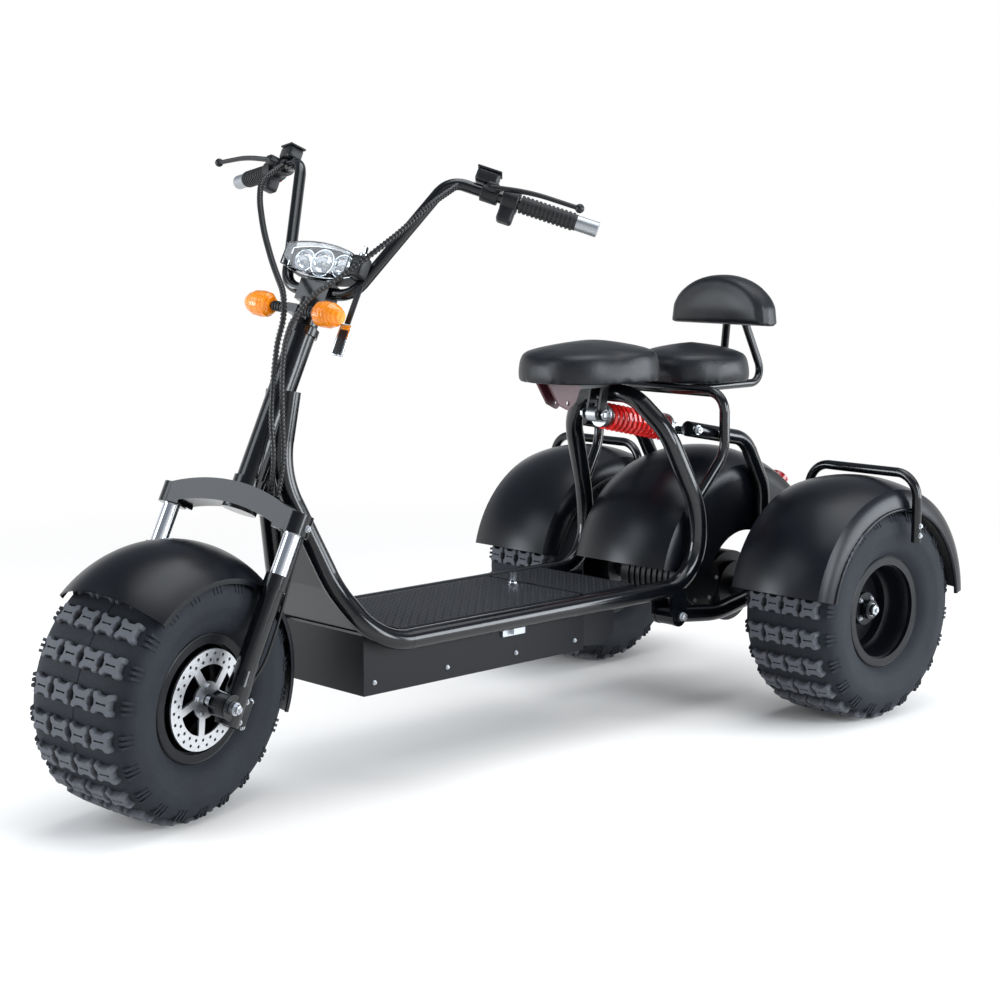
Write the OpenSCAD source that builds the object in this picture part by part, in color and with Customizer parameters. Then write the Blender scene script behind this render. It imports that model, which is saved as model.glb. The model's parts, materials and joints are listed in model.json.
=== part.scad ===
// Electric three-wheeler with balloon tyres: raked fork, low deck, two saddles and a backrest.
// Millimetres. The front faces -Y, the rider's left is +X and the tyres stand on Z = 0.

/* [Stance] */
// Distance between the front and rear axles with the steering straight
wheelbase = 1460; // [1430:5:1490]
// Distance between the rear tyres' centres
rear_track = 766; // [760:2:790]
// Lean of the steering axis from upright
rake = 25.6; // [24:0.2:27]
// How far the steering is turned to the left
steer = 14.6; // [0:0.2:18]
// Front axle ahead of the steering axis
fork_offset = 34; // [30:1:38]

/* [Wheels] */
// Radius of a tyre over its lugs
tyre_r = 228.5; // [224:0.5:232]
// Width of a tyre at its widest
tyre_w = 228; // [218:2:230]
// Height of a lug over the carcass
lug_h = 12; // [9:1:14]
// Rows of lugs round a tyre
lug_rows = 22; // [18:2:24]
// Radius of a rim's bead seat
bead_r = 101.5; // [99:0.5:103]
// Height of a rim's flange over its bead seat
flange_h = 14; // [12:1:16]
// Width of a rim over its flanges
rim_w = 185; // [178:1:190]
// Sheet thickness of a rim
rim_t = 3.5; // [3:0.5:5]
// Radius of the front brake disc
disc_r = 90; // [84:1:94]
// Thickness of the front brake disc
disc_t = 4; // [3:0.5:5]
// Diameter of the front axle
front_axle_d = 15; // [14:1:17]
// Diameter of the rear axle's stubs
rear_axle_d = 25; // [22:1:28]

/* [Frame] */
// Diameter of the main frame tubes
tube_d = 38; // [34:1:40]
// Distance between the deck's two side tubes
deck_span = 314; // [308:2:320]
// Height of the deck's side tubes over the floor
deck_z = 273; // [268:1:280]
// Diameter of the head tube
head_d = 50; // [48:1:54]
// Diameter of the steerer
steerer_d = 30; // [28:1:32]
// Thickness of the deck's steel plate
plate_t = 2.5; // [2:0.5:3]
// Thickness of the rubber mat
mat_t = 3; // [2:0.5:4]
// Depth of the battery box below the deck plate
box_depth = 112; // [100:2:116]
// Sheet thickness of the battery box
box_t = 2; // [1.5:0.5:3]
// Diameter of the swing arm's uprights
upright_d = 32; // [28:1:34]

/* [Fork and bars] */
// Distance between the fork legs
leg_span = 279; // [278:1:290]
// Diameter of the chrome stanchions
stanchion_d = 31; // [28:1:32]
// Diameter of the sliders
slider_d = 38; // [36:1:39]
// Diameter of the handlebar
bar_d = 22.2; // [22:0.2:25.4]
// Diameter of a grip
grip_d = 33; // [30:1:36]
// Diameter of a wrapped cable loom
loom_d = 12; // [10:1:14]

/* [Fenders] */
// Outer radius of the front fender
front_fender_r = 258; // [254:1:266]
// Outer radius of a rear fender
rear_fender_r = 276; // [270:1:284]
// Outer radius of the cover between the rear wheels
centre_fender_r = 291; // [286:1:296]
// Thickness of the fender moulding
fender_t = 3; // [2.5:0.5:4]

/* [Seats] */
// Length of the driver's saddle
driver_l = 300; // [280:5:310]
// Width of the driver's saddle
driver_w = 280; // [260:5:290]
// Length of the passenger's saddle
passenger_l = 240; // [230:2:250]
// Thickness of a saddle
saddle_h = 79; // [72:1:86]
// Width of the backrest pad
backrest_w = 275; // [260:5:290]

/* [Hidden] */
$fn = 48;

// Clearances: a running fit, a seat between fixed pieces, and room round a moving piece
run_gap = 0.05;
seat_gap = 0.2;
move_gap = 6;
// Bent tubes: how far a straight overlaps its bend, and how much slimmer the bend is drawn
lap = 2;
ease = 0.3;

paint = "#15161a";
moulding = "#1d1e21";
rubber = "#1a1a1b";
vinyl = "#1f2024";
zinc = "#b9bcc0";
chrome = "#d9dce0";
red = "#c81f22";
amber = "#e8860f";

function unit(v) = v / norm(v);
function flip(p) = [for (q = p) [-q.x, q.y, q.z]];
function reversed(p) = [for (i = [len(p) - 1 : -1 : 0]) p[i]];

// Length that a bend of radius r[i] takes from each straight at corner i of path p
function turn(p, i) = acos(unit(p[i] - p[i - 1]) * unit(p[i + 1] - p[i]));
function taken(p, r, i) = (i == 0 || i == len(p) - 1) ? 0 : r[i] * tan(turn(p, i) / 2);

module rod(a, b, d) {
    v = b - a;
    translate(a)
        rotate([0, acos(v.z / norm(v)), atan2(v.y, v.x)])
            cylinder(d = d, h = norm(v));
}

module bend(p, u, v, r, d) {
    n = unit(v - (u * v) * u);
    w = cross(u, n);
    angle = acos(u * v);
    c = p - u * r * tan(angle / 2) + n * r;
    multmatrix([[-n.x, u.x, w.x, c.x], [-n.y, u.y, w.y, c.y], [-n.z, u.z, w.z, c.z], [0, 0, 0, 1]])
        rotate_extrude(angle = angle)
            translate([r, 0])
                circle(d = d);
}

// Round tube along the corners p, bent to radius r[i] at corner i
module bent_tube(p, r, d) {
    last = len(p) - 1;
    for (i = [0 : last - 1]) {
        u = unit(p[i + 1] - p[i]);
        from = taken(p, r, i) - (i > 0 ? lap : 0);
        to = taken(p, r, i + 1) - (i + 1 < last ? lap : 0);
        rod(p[i] + u * from, p[i + 1] - u * to, d);
        if (i > 0)
            bend(p[i], unit(p[i] - p[i - 1]), u, r[i], d - 2 * ease);
    }
}

// Bend radii that take the same share of the shorter straight at every corner, for cables
function straight(p, i) = min(norm(p[i] - p[i - 1]), norm(p[i + 1] - p[i]));
function easy(p) = [for (i = [0 : len(p) - 1])
    i == 0 || i == len(p) - 1 ? 0 : 0.42 * straight(p, i) / tan(turn(p, i) / 2)];

// Cylinder along X about its middle
module along_x(d, w) {
    rotate([0, 90, 0])
        cylinder(d = d, h = w, center = true);
}

// Tyre: width from the middle, carcass radius, share of the lug height, lug half length as a share of a row
half_w = tyre_w / 2;
carcass_r = tyre_r - lug_h;
pitch = 360 / lug_rows;
plain = 0.3;
bead_x = rim_w / 2 - rim_t - 0.5;
tread = [
    [0, carcass_r, 0.3, 0.2],
    [11, carcass_r, 1, plain],
    [47, carcass_r - 1, 0.92, 0.17],
    [half_w - 28, carcass_r - 4, 1, plain],
    [half_w - 9, carcass_r - 19, 0.15, plain],
    [half_w, carcass_r - 46, 0, plain],
    [bead_x, bead_r + flange_h + 2, 0, plain],
    [bead_x, (bead_r + seat_gap) / cos(plain * pitch), 0, plain]];
tread_loop = [
    for (i = [0 : len(tread) - 1]) tread[i],
    for (i = [len(tread) - 1 : -1 : 1]) [-tread[i][0], tread[i][1], tread[i][2], tread[i][3]]];
// Stations of a row: front edge of the lug, back edge, middle of the groove
function station(row, s, c) = pitch * (row + (s == 0 ? -c[3] : s == 1 ? c[3] : 0.5));
function reach(s, c) = c[1] + (s == 2 ? 0 : lug_h * c[2]);
tyre_points = [
    for (row = [0 : lug_rows - 1]) for (s = [0 : 2]) for (c = tread_loop)
        let (a = station(row, s, c), r = reach(s, c))
            [c[0], r * sin(a), -r * cos(a)]];

// Floor heights at which the tyres just touch: rear upright, front leant over by its steering
rear_z = -min([for (p = tyre_points) p.z]);
function steered_z(p) = cos(rake) * p.z - sin(rake) * (p.x * sin(steer) + p.y * cos(steer));
front_z = -min([for (p = tyre_points) steered_z(p)]);
y_mid = (wheelbase + tyre_r - rear_fender_r) / 2;
axis_foot = [0, -wheelbase + fork_offset * cos(rake), front_z - fork_offset * sin(rake)];

// The whole machine is centred over its origin
module placed() {
    translate([0, y_mid, 0])
        children();
}
// Along the steering axis: +X left, -Y ahead, +Z up the axis, not turned
module headed() {
    placed()
        translate(axis_foot)
            rotate([-rake, 0, 0])
                children();
}
module steered() {
    headed()
        rotate([0, 0, steer])
            children();
}
module front_wheel_at() {
    steered()
        translate([0, -fork_offset, 0])
            children();
}
module rear_wheel_at(side) {
    placed()
        translate([side * rear_track / 2, 0, rear_z])
            children();
}

// Steering column, heights along the axis from its foot
crown_top = 380;
crown_bottom = 317;
head_low = crown_top + 1.5;
head_high = 688;
cup_h = 14;
cup_d = head_d + 8;

module head_tube() {
    color(paint)
        headed()
            difference() {
                union() {
                    translate([0, 0, head_low])
                        cylinder(d = head_d, h = head_high - head_low);
                    for (z = [head_low, head_high - cup_h])
                        translate([0, 0, z])
                            cylinder(d = cup_d, h = cup_h);
                }
                translate([0, 0, head_low - 1])
                    cylinder(d = steerer_d + 2 * run_gap, h = head_high - head_low + 2);
            }
}

// Frame: each side leaves the head tube, spreads to the deck, runs back and rises into the seat hoop
deck_x = deck_span / 2;
frame_half = [
    [20.5, -1181, 727], [20.5, -1210, 582], [86, -1138, 370], [deck_x, -1092, deck_z], [deck_x, -226, deck_z],
    [deck_x + 8, -226, 430], [deck_x - 23, -296, 598], [deck_x - 87, -330, 672]];
frame_bends = [0, 200, 200, 100, 95, 220, 120, 66];
frame_path = concat(frame_half, reversed(flip(frame_half)));

module main_frame() {
    color(paint)
        difference() {
            placed()
                bent_tube(frame_path, concat(frame_bends, reversed(frame_bends)), tube_d);
            headed()
                translate([0, 0, head_low - 100])
                    cylinder(d = head_d + 2 * seat_gap, h = head_high);
        }
}

// Sheet between the two down tubes, folded where they spread: corner of the tubes, share of the straight
shield_folds = [[1, 0.22, 1.01], [2, -0.01, 0.84]];
shield_t = 2;
module leg_shield() {
    color(paint)
        placed()
            for (fold = shield_folds) {
                top = frame_half[fold[0]];
                v = frame_half[fold[0] + 1] - top;
                slope = norm([v.y, v.z]);
                inset = tube_d / 2 * norm(v) / slope + 1;
                translate([0, top.y, top.z])
                    rotate([atan2(v.z, v.y), 0, 0])
                        translate([0, 0, -shield_t / 2])
                            linear_extrude(shield_t)
                                polygon([for (c = [[-1, 1], [-1, 2], [1, 2], [1, 1]])
                                    [c[0] * (top.x + fold[c[1]] * v.x - inset), fold[c[1]] * slope]]);
            }
}

// Deck: battery box between the tubes, lid hinged at the front, fixed plate behind
plate_z = deck_z + 12.5;
lid_w = deck_span - tube_d - 4;
lid_front = -1030;
lid_back = -548;
deck_back = -392;
box_w = deck_span - tube_d - 26;
box_front = -1105;
box_back = -530;
box_z = plate_z - seat_gap - box_depth;
crossbar_d = 24;
crossbar_y = -400;
hinge_d = 12;
hinge_pin_d = 6;
hinge_y = lid_front - 12;
hinge_z = plate_z + plate_t / 2;
hinge_w = 60;
hinge_drop = 24;
hose_d = 6;

module deck_crossbar() {
    color(paint)
        placed()
            difference() {
                translate([0, crossbar_y, plate_z - seat_gap - crossbar_d / 2])
                    along_x(crossbar_d, deck_span);
                for (side = [-1, 1])
                    translate([side * deck_x, 0, 0])
                        rod([0, crossbar_y - 60, deck_z], [0, crossbar_y + 60, deck_z], tube_d + 2 * seat_gap);
            }
}

module battery_box() {
    lug_x = box_w / 2 - box_t;
    tab_h = 12;
    lug_w = (deck_span - tube_d - box_w) / 2 - seat_gap + box_t;
    color(paint)
        placed() {
            difference() {
                translate([-box_w / 2, box_front, box_z])
                    cube([box_w, box_back - box_front, box_depth]);
                translate([-box_w / 2 + box_t, box_front + box_t, box_z + box_t])
                    cube([box_w - 2 * box_t, box_back - box_front - 2 * box_t, box_depth]);
            }
            for (side = [-1, 1]) for (y = [-985, -800, -600])
                translate([side > 0 ? lug_x : -lug_x - lug_w, y, deck_z - tab_h / 2])
                    cube([lug_w, 40, tab_h]);
            translate([-box_w / 2, box_front, plate_z - seat_gap - box_t])
                cube([box_w, hinge_y - hinge_d / 2 - move_gap - box_front, box_t]);
            for (side = [-1, 1])
                translate([side * (hinge_w + 7), hinge_y, 0]) {
                    translate([0, 0, hinge_z])
                        along_x(hinge_d, 10);
                    translate([-5, -hinge_d / 2, plate_z - hinge_drop])
                        cube([10, hinge_d, hinge_drop + hinge_z - plate_z]);
                }
            translate([0, hinge_y, hinge_z])
                along_x(hinge_pin_d, 2 * hinge_w + 16);
            translate([-hinge_w - 12, hinge_y - 24, plate_z - hinge_drop])
                cube([2 * hinge_w + 24, 30, box_t]);
            translate([-hinge_w - 12, hinge_y - 24, plate_z - hinge_drop])
                cube([2 * hinge_w + 24, box_t, hinge_drop - seat_gap]);
        }
}

module battery_pack() {
    room = 8;
    color("#3a3d42")
        placed()
            translate([-box_w / 2 + box_t + room, box_front + box_t + room, box_z + box_t + seat_gap])
                cube([box_w - 2 * (box_t + room), box_back - box_front - 2 * (box_t + room),
                    box_depth - hinge_drop - 2 * room]);
}

module rear_deck() {
    color(paint)
        placed()
            translate([-lid_w / 2, lid_back + move_gap, plate_z])
                cube([lid_w, deck_back - lid_back - move_gap, plate_t]);
}
module rear_mat() {
    color(rubber)
        placed()
            translate([-lid_w / 2 + 2, lid_back + move_gap + 2, plate_z + plate_t])
                cube([lid_w - 4, deck_back - lid_back - move_gap - 4, mat_t]);
}

module controller_box() {
    low = box_z + 2;
    top = plate_z - seat_gap;
    color("#24262a")
        placed()
            translate([-105, 0, 0])
                rotate([90, 0, 90])
                    linear_extrude(210)
                        polygon([[box_back + 8, top], [box_back + 8, low], [-455, low - 6], [-420, low + 14],
                            [-420, top]]);
}

// Lid and what is on it
module deck_lid() {
    color(paint)
        placed()
            difference() {
                union() {
                    translate([-lid_w / 2, lid_front, plate_z])
                        cube([lid_w, lid_back - lid_front, plate_t]);
                    translate([-hinge_w, hinge_y, plate_z])
                        cube([2 * hinge_w, lid_front - hinge_y + 1, plate_t]);
                    translate([0, hinge_y, hinge_z])
                        along_x(hinge_d, 2 * hinge_w);
                }
                translate([0, hinge_y, hinge_z])
                    along_x(hinge_pin_d + 2 * run_gap, 3 * hinge_w);
            }
}
module deck_mat() {
    color(rubber)
        placed()
            translate([-lid_w / 2 + 2, lid_front + 2, plate_z + plate_t])
                cube([lid_w - 4, lid_back - lid_front - 4, mat_t]);
}
module lid_lock() {
    color(chrome)
        placed()
            translate([-37, lid_back - 22, plate_z + plate_t + mat_t]) {
                cylinder(d = 26, h = 4);
                cylinder(d = 18, h = 9);
                translate([-2, -7, 8])
                    cube([4, 14, 16]);
            }
}

// Swing arm, its pivot and the rear axle
arm_inset = 7;
arm_x = deck_x - arm_inset;
arm_d = 36;
pivot_y = -300;
pivot_z = 217;
pivot_bolt_d = 16;
axle_tube_d = 44;
clamp_d = 66;
clamp_w = 42;
upright_half = [[arm_x, 2, rear_z + 20], [arm_x, 0, 460], [arm_x, -62, 566], [arm_x, -250, 601]];
upright_bends = [0, 90, 70, 0];
arm_path = [[arm_x, pivot_y, pivot_z], [arm_x, -150, 200], [arm_x, 0, rear_z]];
arm_end_d = 42;
bracket_t = 8;

module pivot_brackets() {
    off = arm_d / 2 + bracket_t / 2 + 3;
    color(paint)
        placed()
            for (side = [-1, 1]) {
                difference() {
                    for (x = [arm_x - off, arm_x + off])
                        translate([side * x - bracket_t / 2, 0, 0])
                            rotate([90, 0, 90])
                                linear_extrude(bracket_t) {
                                    translate([pivot_y, pivot_z])
                                        circle(d = 44);
                                    translate([pivot_y - 22, pivot_z])
                                        square([44, deck_z - pivot_z]);
                                }
                    rod([side * deck_x, -500, deck_z], [side * deck_x, -200, deck_z], tube_d + 2 * seat_gap);
                }
                translate([side * arm_x, pivot_y, pivot_z]) {
                    along_x(pivot_bolt_d, 2 * off);
                    translate([side * (off + bracket_t / 2 + 4), 0, 0])
                        along_x(26, 9);
                }
            }
}

module swing_arm() {
    boss_w = arm_d + 4;
    color(paint)
        placed() {
            translate(shock_back)
                along_x(shock_bar_d, 2 * arm_x);
            for (side = [-1, 1])
                difference() {
                    union() {
                        bent_tube(side > 0 ? upright_half : flip(upright_half), upright_bends, upright_d);
                        bent_tube(side > 0 ? arm_path : flip(arm_path), [0, 200, 0], arm_d);
                        translate([side * arm_x, pivot_y, pivot_z])
                            along_x(arm_end_d, boss_w);
                        translate([side * arm_x, 0, rear_z])
                            along_x(clamp_d, clamp_w);
                    }
                    translate([side * arm_x, 0, rear_z])
                        along_x(axle_tube_d + 2 * seat_gap, 2 * clamp_w);
                    translate([side * arm_x, pivot_y, pivot_z])
                        along_x(pivot_bolt_d + 2 * seat_gap, 100);
                }
        }
}

diff_r = 78;
hub_in = rear_track / 2 - 106;
hub_out = rear_track / 2 + 46;
module rear_axle() {
    tube_end = hub_in - move_gap;
    color(paint)
        placed()
            translate([0, 0, rear_z]) {
                along_x(axle_tube_d, 2 * tube_end);
                along_x(rear_axle_d, 2 * (hub_out + 24));
                rotate([0, 90, 0])
                    rotate_extrude() {
                        translate([0, -62])
                            square([diff_r, 124]);
                        translate([0, -80])
                            square([56, 160]);
                    }
                for (side = [-1, 1]) {
                    translate([side * (tube_end - 6), 0, 0])
                        along_x(96, 12);
                    translate([side * (hub_out + 11), 0, 0])
                        along_x(40, 10);
                }
            }
}

motor_d = 128;
motor_fin = 4;
motor_z = rear_z + 35;
motor_y = -sqrt(pow(diff_r + motor_d / 2 + motor_fin + seat_gap, 2) - pow(motor_z - rear_z, 2));
motor_left = 104;
motor_right = -74;
module drive_motor() {
    color("#26282c")
        placed()
            translate([motor_right, motor_y, motor_z])
                rotate([0, 90, 0]) {
                    cylinder(d = motor_d, h = motor_left - motor_right - 14);
                    translate([0, 0, motor_left - motor_right - 14])
                        cylinder(d = motor_d - 16, h = 14);
                    for (i = [0 : 7])
                        translate([0, 0, 20 + 16 * i])
                            cylinder(d = motor_d + 2 * motor_fin, h = 5);
                }
}
// Single coil shock from the hoop to the bar between the uprights
shock_front = [0, -368, 629];
shock_back = [0, -122, 578];
shock_len = norm(shock_back - shock_front);
shock_bar_d = 18;
shock_bolt_d = 12;
eye_w = 26;
coil_d = 58;
wire_d = 9;
coil_turns = 12;
module along_shock() {
    v = shock_back - shock_front;
    placed()
        translate(shock_front)
            rotate([0, acos(v.z / shock_len), atan2(v.y, v.x)])
                children();
}
module shock_body() {
    eye_d = 32;
    color("#9a9da2")
        along_shock()
            difference() {
                union() {
                    for (z = [0, shock_len])
                        translate([0, 0, z])
                            rotate([90, 0, 0])
                                cylinder(d = eye_d, h = eye_w, center = true);
                    cylinder(d = 14, h = shock_len);
                    translate([0, 0, 14])
                        cylinder(d = 50, h = 10);
                    translate([0, 0, 14])
                        cylinder(d = 34, h = 90);
                    translate([0, 0, shock_len - 40])
                        cylinder(d = 62, h = 8);
                }
                for (eye = [[0, shock_bolt_d], [shock_len, shock_bar_d]])
                    translate([0, 0, eye[0]])
                        rotate([90, 0, 0])
                            cylinder(d = eye[1] + 2 * seat_gap, h = 2 * eye_w, center = true);
            }
}
// Coil: rings of a round wire swept along a helix
function coil_at(t, z0, z1) = [
    (coil_d - wire_d) / 2 * cos(360 * coil_turns * t),
    (coil_d - wire_d) / 2 * sin(360 * coil_turns * t),
    z0 + (z1 - z0) * t];
module shock_coil() {
    sides = 6;
    steps = 12 * coil_turns;
    z0 = 24 + wire_d / 2 + seat_gap;
    z1 = shock_len - 40 - wire_d / 2 - seat_gap;
    points = [
        for (i = [0 : steps])
            let (t = i / steps, c = coil_at(t, z0, z1), a = 360 * coil_turns * t)
                for (k = [0 : sides - 1])
                    let (b = 360 * k / sides)
                        c + wire_d / 2 * (cos(b) * [cos(a), sin(a), 0] + sin(b) * [0, 0, 1])];
    faces = [
        [for (k = [0 : sides - 1]) k],
        for (i = [0 : steps - 1]) for (k = [0 : sides - 1])
            let (n = (k + 1) % sides)
                [i * sides + k, (i + 1) * sides + k, (i + 1) * sides + n, i * sides + n],
        [for (k = [sides - 1 : -1 : 0]) steps * sides + k]];
    color(red)
        along_shock()
            polyhedron(points, faces, convexity = 10);
}

// Fender: a domed channel swept round the wheel between two angles from straight ahead
module channel(r, w, shoulder, skirt, dome_r) {
    intersection() {
        union() {
            translate([r - skirt, -w / 2])
                square([skirt - shoulder, w]);
            translate([r - skirt, -w / 2 + shoulder])
                square([skirt, w - 2 * shoulder]);
            for (side = [-1, 1])
                translate([r - shoulder, side * (w / 2 - shoulder)])
                    circle(shoulder);
        }
        translate([r - skirt, -w])
            square([2 * skirt, 2 * w]);
        translate([r - dome_r, 0])
            circle(dome_r, $fn = 240);
    }
}
// A lip of diameter lip_d is rolled outwards along both edges
module fender_sweep(r, w, shoulder, skirt, dome_r, from, to, lip_d = 0) {
    rotate([-to, 0, 0])
        rotate([0, 90, 0])
            rotate([0, 0, -90])
                rotate_extrude(angle = to - from) {
                    difference() {
                        channel(r, w, shoulder, skirt, dome_r);
                        channel(r - fender_t, w - 2 * fender_t, shoulder - fender_t, skirt, dome_r - fender_t);
                    }
                    if (lip_d > 0)
                        for (side = [-1, 1])
                            translate([r - skirt + lip_d / 2, side * (w / 2 - fender_t + lip_d / 2)])
                                circle(d = lip_d);
                }
}

centre_w = 2 * (arm_x - upright_d / 2 - seat_gap);
module centre_fender_at() {
    placed()
        translate([0, -40, rear_z + 20])
            children();
}
module centre_fender() {
    color(moulding)
        centre_fender_at()
            fender_sweep(centre_fender_r, centre_w, 62, 175, 260, 13, 150);
}

rear_fender_w = tyre_w + 18;
lip = 7;
module rear_fenders() {
    color(moulding)
        for (side = [-1, 1])
            rear_wheel_at(side)
                fender_sweep(rear_fender_r, rear_fender_w, 58, 64, 300, 13, 176, lip);
}

// Tube that carries a rear fender: up from the axle, over the crown and down the outer side
fender_tube_d = 20;
module fender_brackets() {
    y = 40;
    gap = fender_tube_d / 2 + seat_gap;
    reach = rear_fender_w / 2 + lip - fender_t + gap;
    x_in = rear_track / 2 - reach;
    x_out = rear_track / 2 + reach;
    z_top = rear_z + rear_fender_r + gap;
    path = [[x_in, 0, rear_z], [x_in, y, rear_z + 120], [x_in, y, z_top], [x_out, y, z_top],
        [x_out, y, z_top - 140]];
    color(paint)
        placed()
            difference() {
                for (p = [path, flip(path)])
                    bent_tube(p, [0, 60, 50, 50, 0], fender_tube_d);
                translate([0, 0, rear_z])
                    along_x(axle_tube_d + 2 * seat_gap, rear_track);
            }
}

// Saddles and backrest as plain padded forms
driver_y = -395;
driver_z = 701;
passenger_y = -68;
passenger_z = 683;
module saddle(l, w, h) {
    scale_y = l / w;
    hull() {
        for (z = [0, h * 0.5])
            translate([0, 0, z])
                scale([1, scale_y, 1])
                    cylinder(d = w - (z > 0 ? 0 : 16), h = 4, $fn = 32);
        translate([0, 0, h - 4])
            scale([1, scale_y, 1])
                cylinder(d = w - 90, h = 4, $fn = 32);
    }
}
module driver_saddle() {
    color(vinyl)
        placed()
            translate([0, driver_y, driver_z])
                saddle(driver_l, driver_w, saddle_h);
}
// Two plates on the hoop's top carry the saddle and hold the front bolt of the shock
module saddle_bracket() {
    hoop = [frame_half[7].y, frame_half[7].z];
    eye = [shock_front.y, shock_front.z];
    tilt = atan2(shock_back.z - shock_front.z, shock_back.y - shock_front.y);
    plate = 6;
    ear_w = 20;
    ear_l = 62;
    hole_d = 10;
    top = -seat_gap;
    color("#4a1f22")
        placed() {
            difference() {
                for (x = [-eye_w / 2 - seat_gap - plate, eye_w / 2 + seat_gap])
                    translate([x, 0, 0])
                        rotate([90, 0, 90])
                            linear_extrude(plate) {
                                translate([driver_y, driver_z])
                                    polygon([[-129, top], [-100, -44], [-74, -56], [-50, -40], [-40, -16],
                                        [92, -16], [92, top]]);
                                translate(eye)
                                    rotate(tilt)
                                        translate([-ear_w / 2, 0])
                                            square([ear_w, ear_l]);
                                translate(eye)
                                    circle(d = ear_w + hole_d / 2);
                            }
                translate([0, hoop.x, hoop.y])
                    along_x(tube_d + 2 * seat_gap, 80);
                translate([0, driver_y - 74, driver_z - 42])
                    along_x(hole_d, 80);
            }
            translate(shock_front)
                along_x(shock_bolt_d, eye_w + 2 * plate + 20);
        }
}
module passenger_saddle() {
    color(vinyl)
        placed()
            translate([0, passenger_y, passenger_z])
                saddle(passenger_l, driver_w - 30, saddle_h);
}

backrest_y = 40;
backrest_z = 800;
backrest_h = 108;
backrest_t = 62;
module backrest_pad() {
    arc_r = (pow(backrest_w / 2, 2) + pow(backrest_h, 2)) / (2 * backrest_h);
    color(vinyl)
        placed()
            translate([0, backrest_y + backrest_t / 2, backrest_z])
                rotate([90, 0, 0])
                    linear_extrude(backrest_t)
                        intersection() {
                            translate([0, backrest_h - arc_r])
                                circle(arc_r, $fn = 120);
                            translate([-backrest_w, 0])
                                square([2 * backrest_w, 2 * backrest_h]);
                        }
}
seat_tube_d = 22;
module passenger_frame() {
    z = passenger_z - seat_tube_d / 2 - seat_gap;
    back = backrest_y + backrest_t / 2 + seat_gap;
    half = [[arm_x + 11, -236, 446], [arm_x + 30, -165, 545], [arm_x + 30, -168, z]];
    hoop = [for (i = [4 : 6]) frame_half[i]];
    color(paint)
        placed() {
            difference() {
                bent_tube(concat(half, reversed(flip(half))), [0, 80, 40, 40, 80, 0], seat_tube_d);
                for (p = [hoop, flip(hoop)])
                    bent_tube(p, [0, frame_bends[5], 0], tube_d + 2 * seat_gap);
            }
            for (side = [-1, 1])
                bent_tube([[side * 62, -168, z], [side * 62, 112, z], [side * 24, back + 11, backrest_z + 10],
                    [side * 22, back + 11, backrest_z + 50]], [0, 40, 40, 0], seat_tube_d - 4);
            translate([-40, back, backrest_z + 24])
                cube([80, 5, 50]);
        }
}

module tail_lamp() {
    size = [120, 40];
    depth = 24;
    color("#a3161a")
        centre_fender_at()
            rotate([-140, 0, 0])
                translate([0, -centre_fender_r - seat_gap, 0])
                    rotate([90, 0, 0])
                        linear_extrude(depth) {
                            square([size.x - size.y, size.y], center = true);
                            for (side = [-1, 1])
                                translate([side * (size.x - size.y) / 2, 0])
                                    circle(d = size.y);
                        }
}

module brake_equaliser() {
    color(zinc)
        placed()
            translate([box_w / 2 + seat_gap, -760, box_z + 60]) {
                cube([5, 60, 24]);
                translate([5, 20, 4])
                    cube([10, 20, 16]);
            }
}

// Fork
leg_x = leg_span / 2;
leg_ahead = 12.5;
slider_low = -30;
slider_top = 240;
collar_d = 44;
collar_h = 26;
foot_d = 43;
foot_h = 70;
spacer_d = 26;
axle_nut_d = 23;
axle_nut_h = 8;
axle_reach = leg_x + 26;
module at_legs() {
    for (side = [-1, 1])
        translate([side * leg_x, -leg_ahead, 0])
            children();
}

crown_front = 38;
crown_back = -8;
clamp_r = 26;
arch_r = 360;
module crown_outline() {
    bar_low = 340;
    ear_in = 108;
    difference() {
        union() {
            intersection() {
                translate([0, crown_top - arch_r])
                    circle(r = arch_r, $fn = 240);
                translate([-leg_x, bar_low - 20])
                    square([2 * leg_x, 80]);
            }
            for (side = [-1, 1])
                translate([side > 0 ? ear_in : -leg_x, crown_bottom])
                    square([leg_x - ear_in, 20]);
        }
        intersection() {
            translate([0, bar_low - arch_r])
                circle(r = arch_r, $fn = 240);
            translate([-ear_in, 0])
                square([2 * ear_in, crown_top]);
        }
    }
}
module fork_crown() {
    low = 334;
    color(paint)
        steered()
            difference() {
                union() {
                    translate([0, -crown_back, 0])
                        rotate([90, 0, 0])
                            linear_extrude(crown_front - crown_back)
                                crown_outline();
                    at_legs()
                        translate([0, 0, crown_bottom - 2])
                            cylinder(r = clamp_r, h = 38);
                    translate([0, 0, low])
                        cylinder(r = 32, h = crown_top - 0.5 - low);
                    translate([0, 0, low])
                        cylinder(d = steerer_d, h = 700 - low);
                }
                at_legs()
                    translate([0, 0, crown_bottom - 3])
                        cylinder(d = stanchion_d + 2 * seat_gap, h = 32);
            }
}
module stanchions() {
    low = 150;
    color(chrome)
        steered()
            at_legs()
                translate([0, 0, low])
                    cylinder(d = stanchion_d, h = crown_bottom + 28 - low);
}
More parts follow.
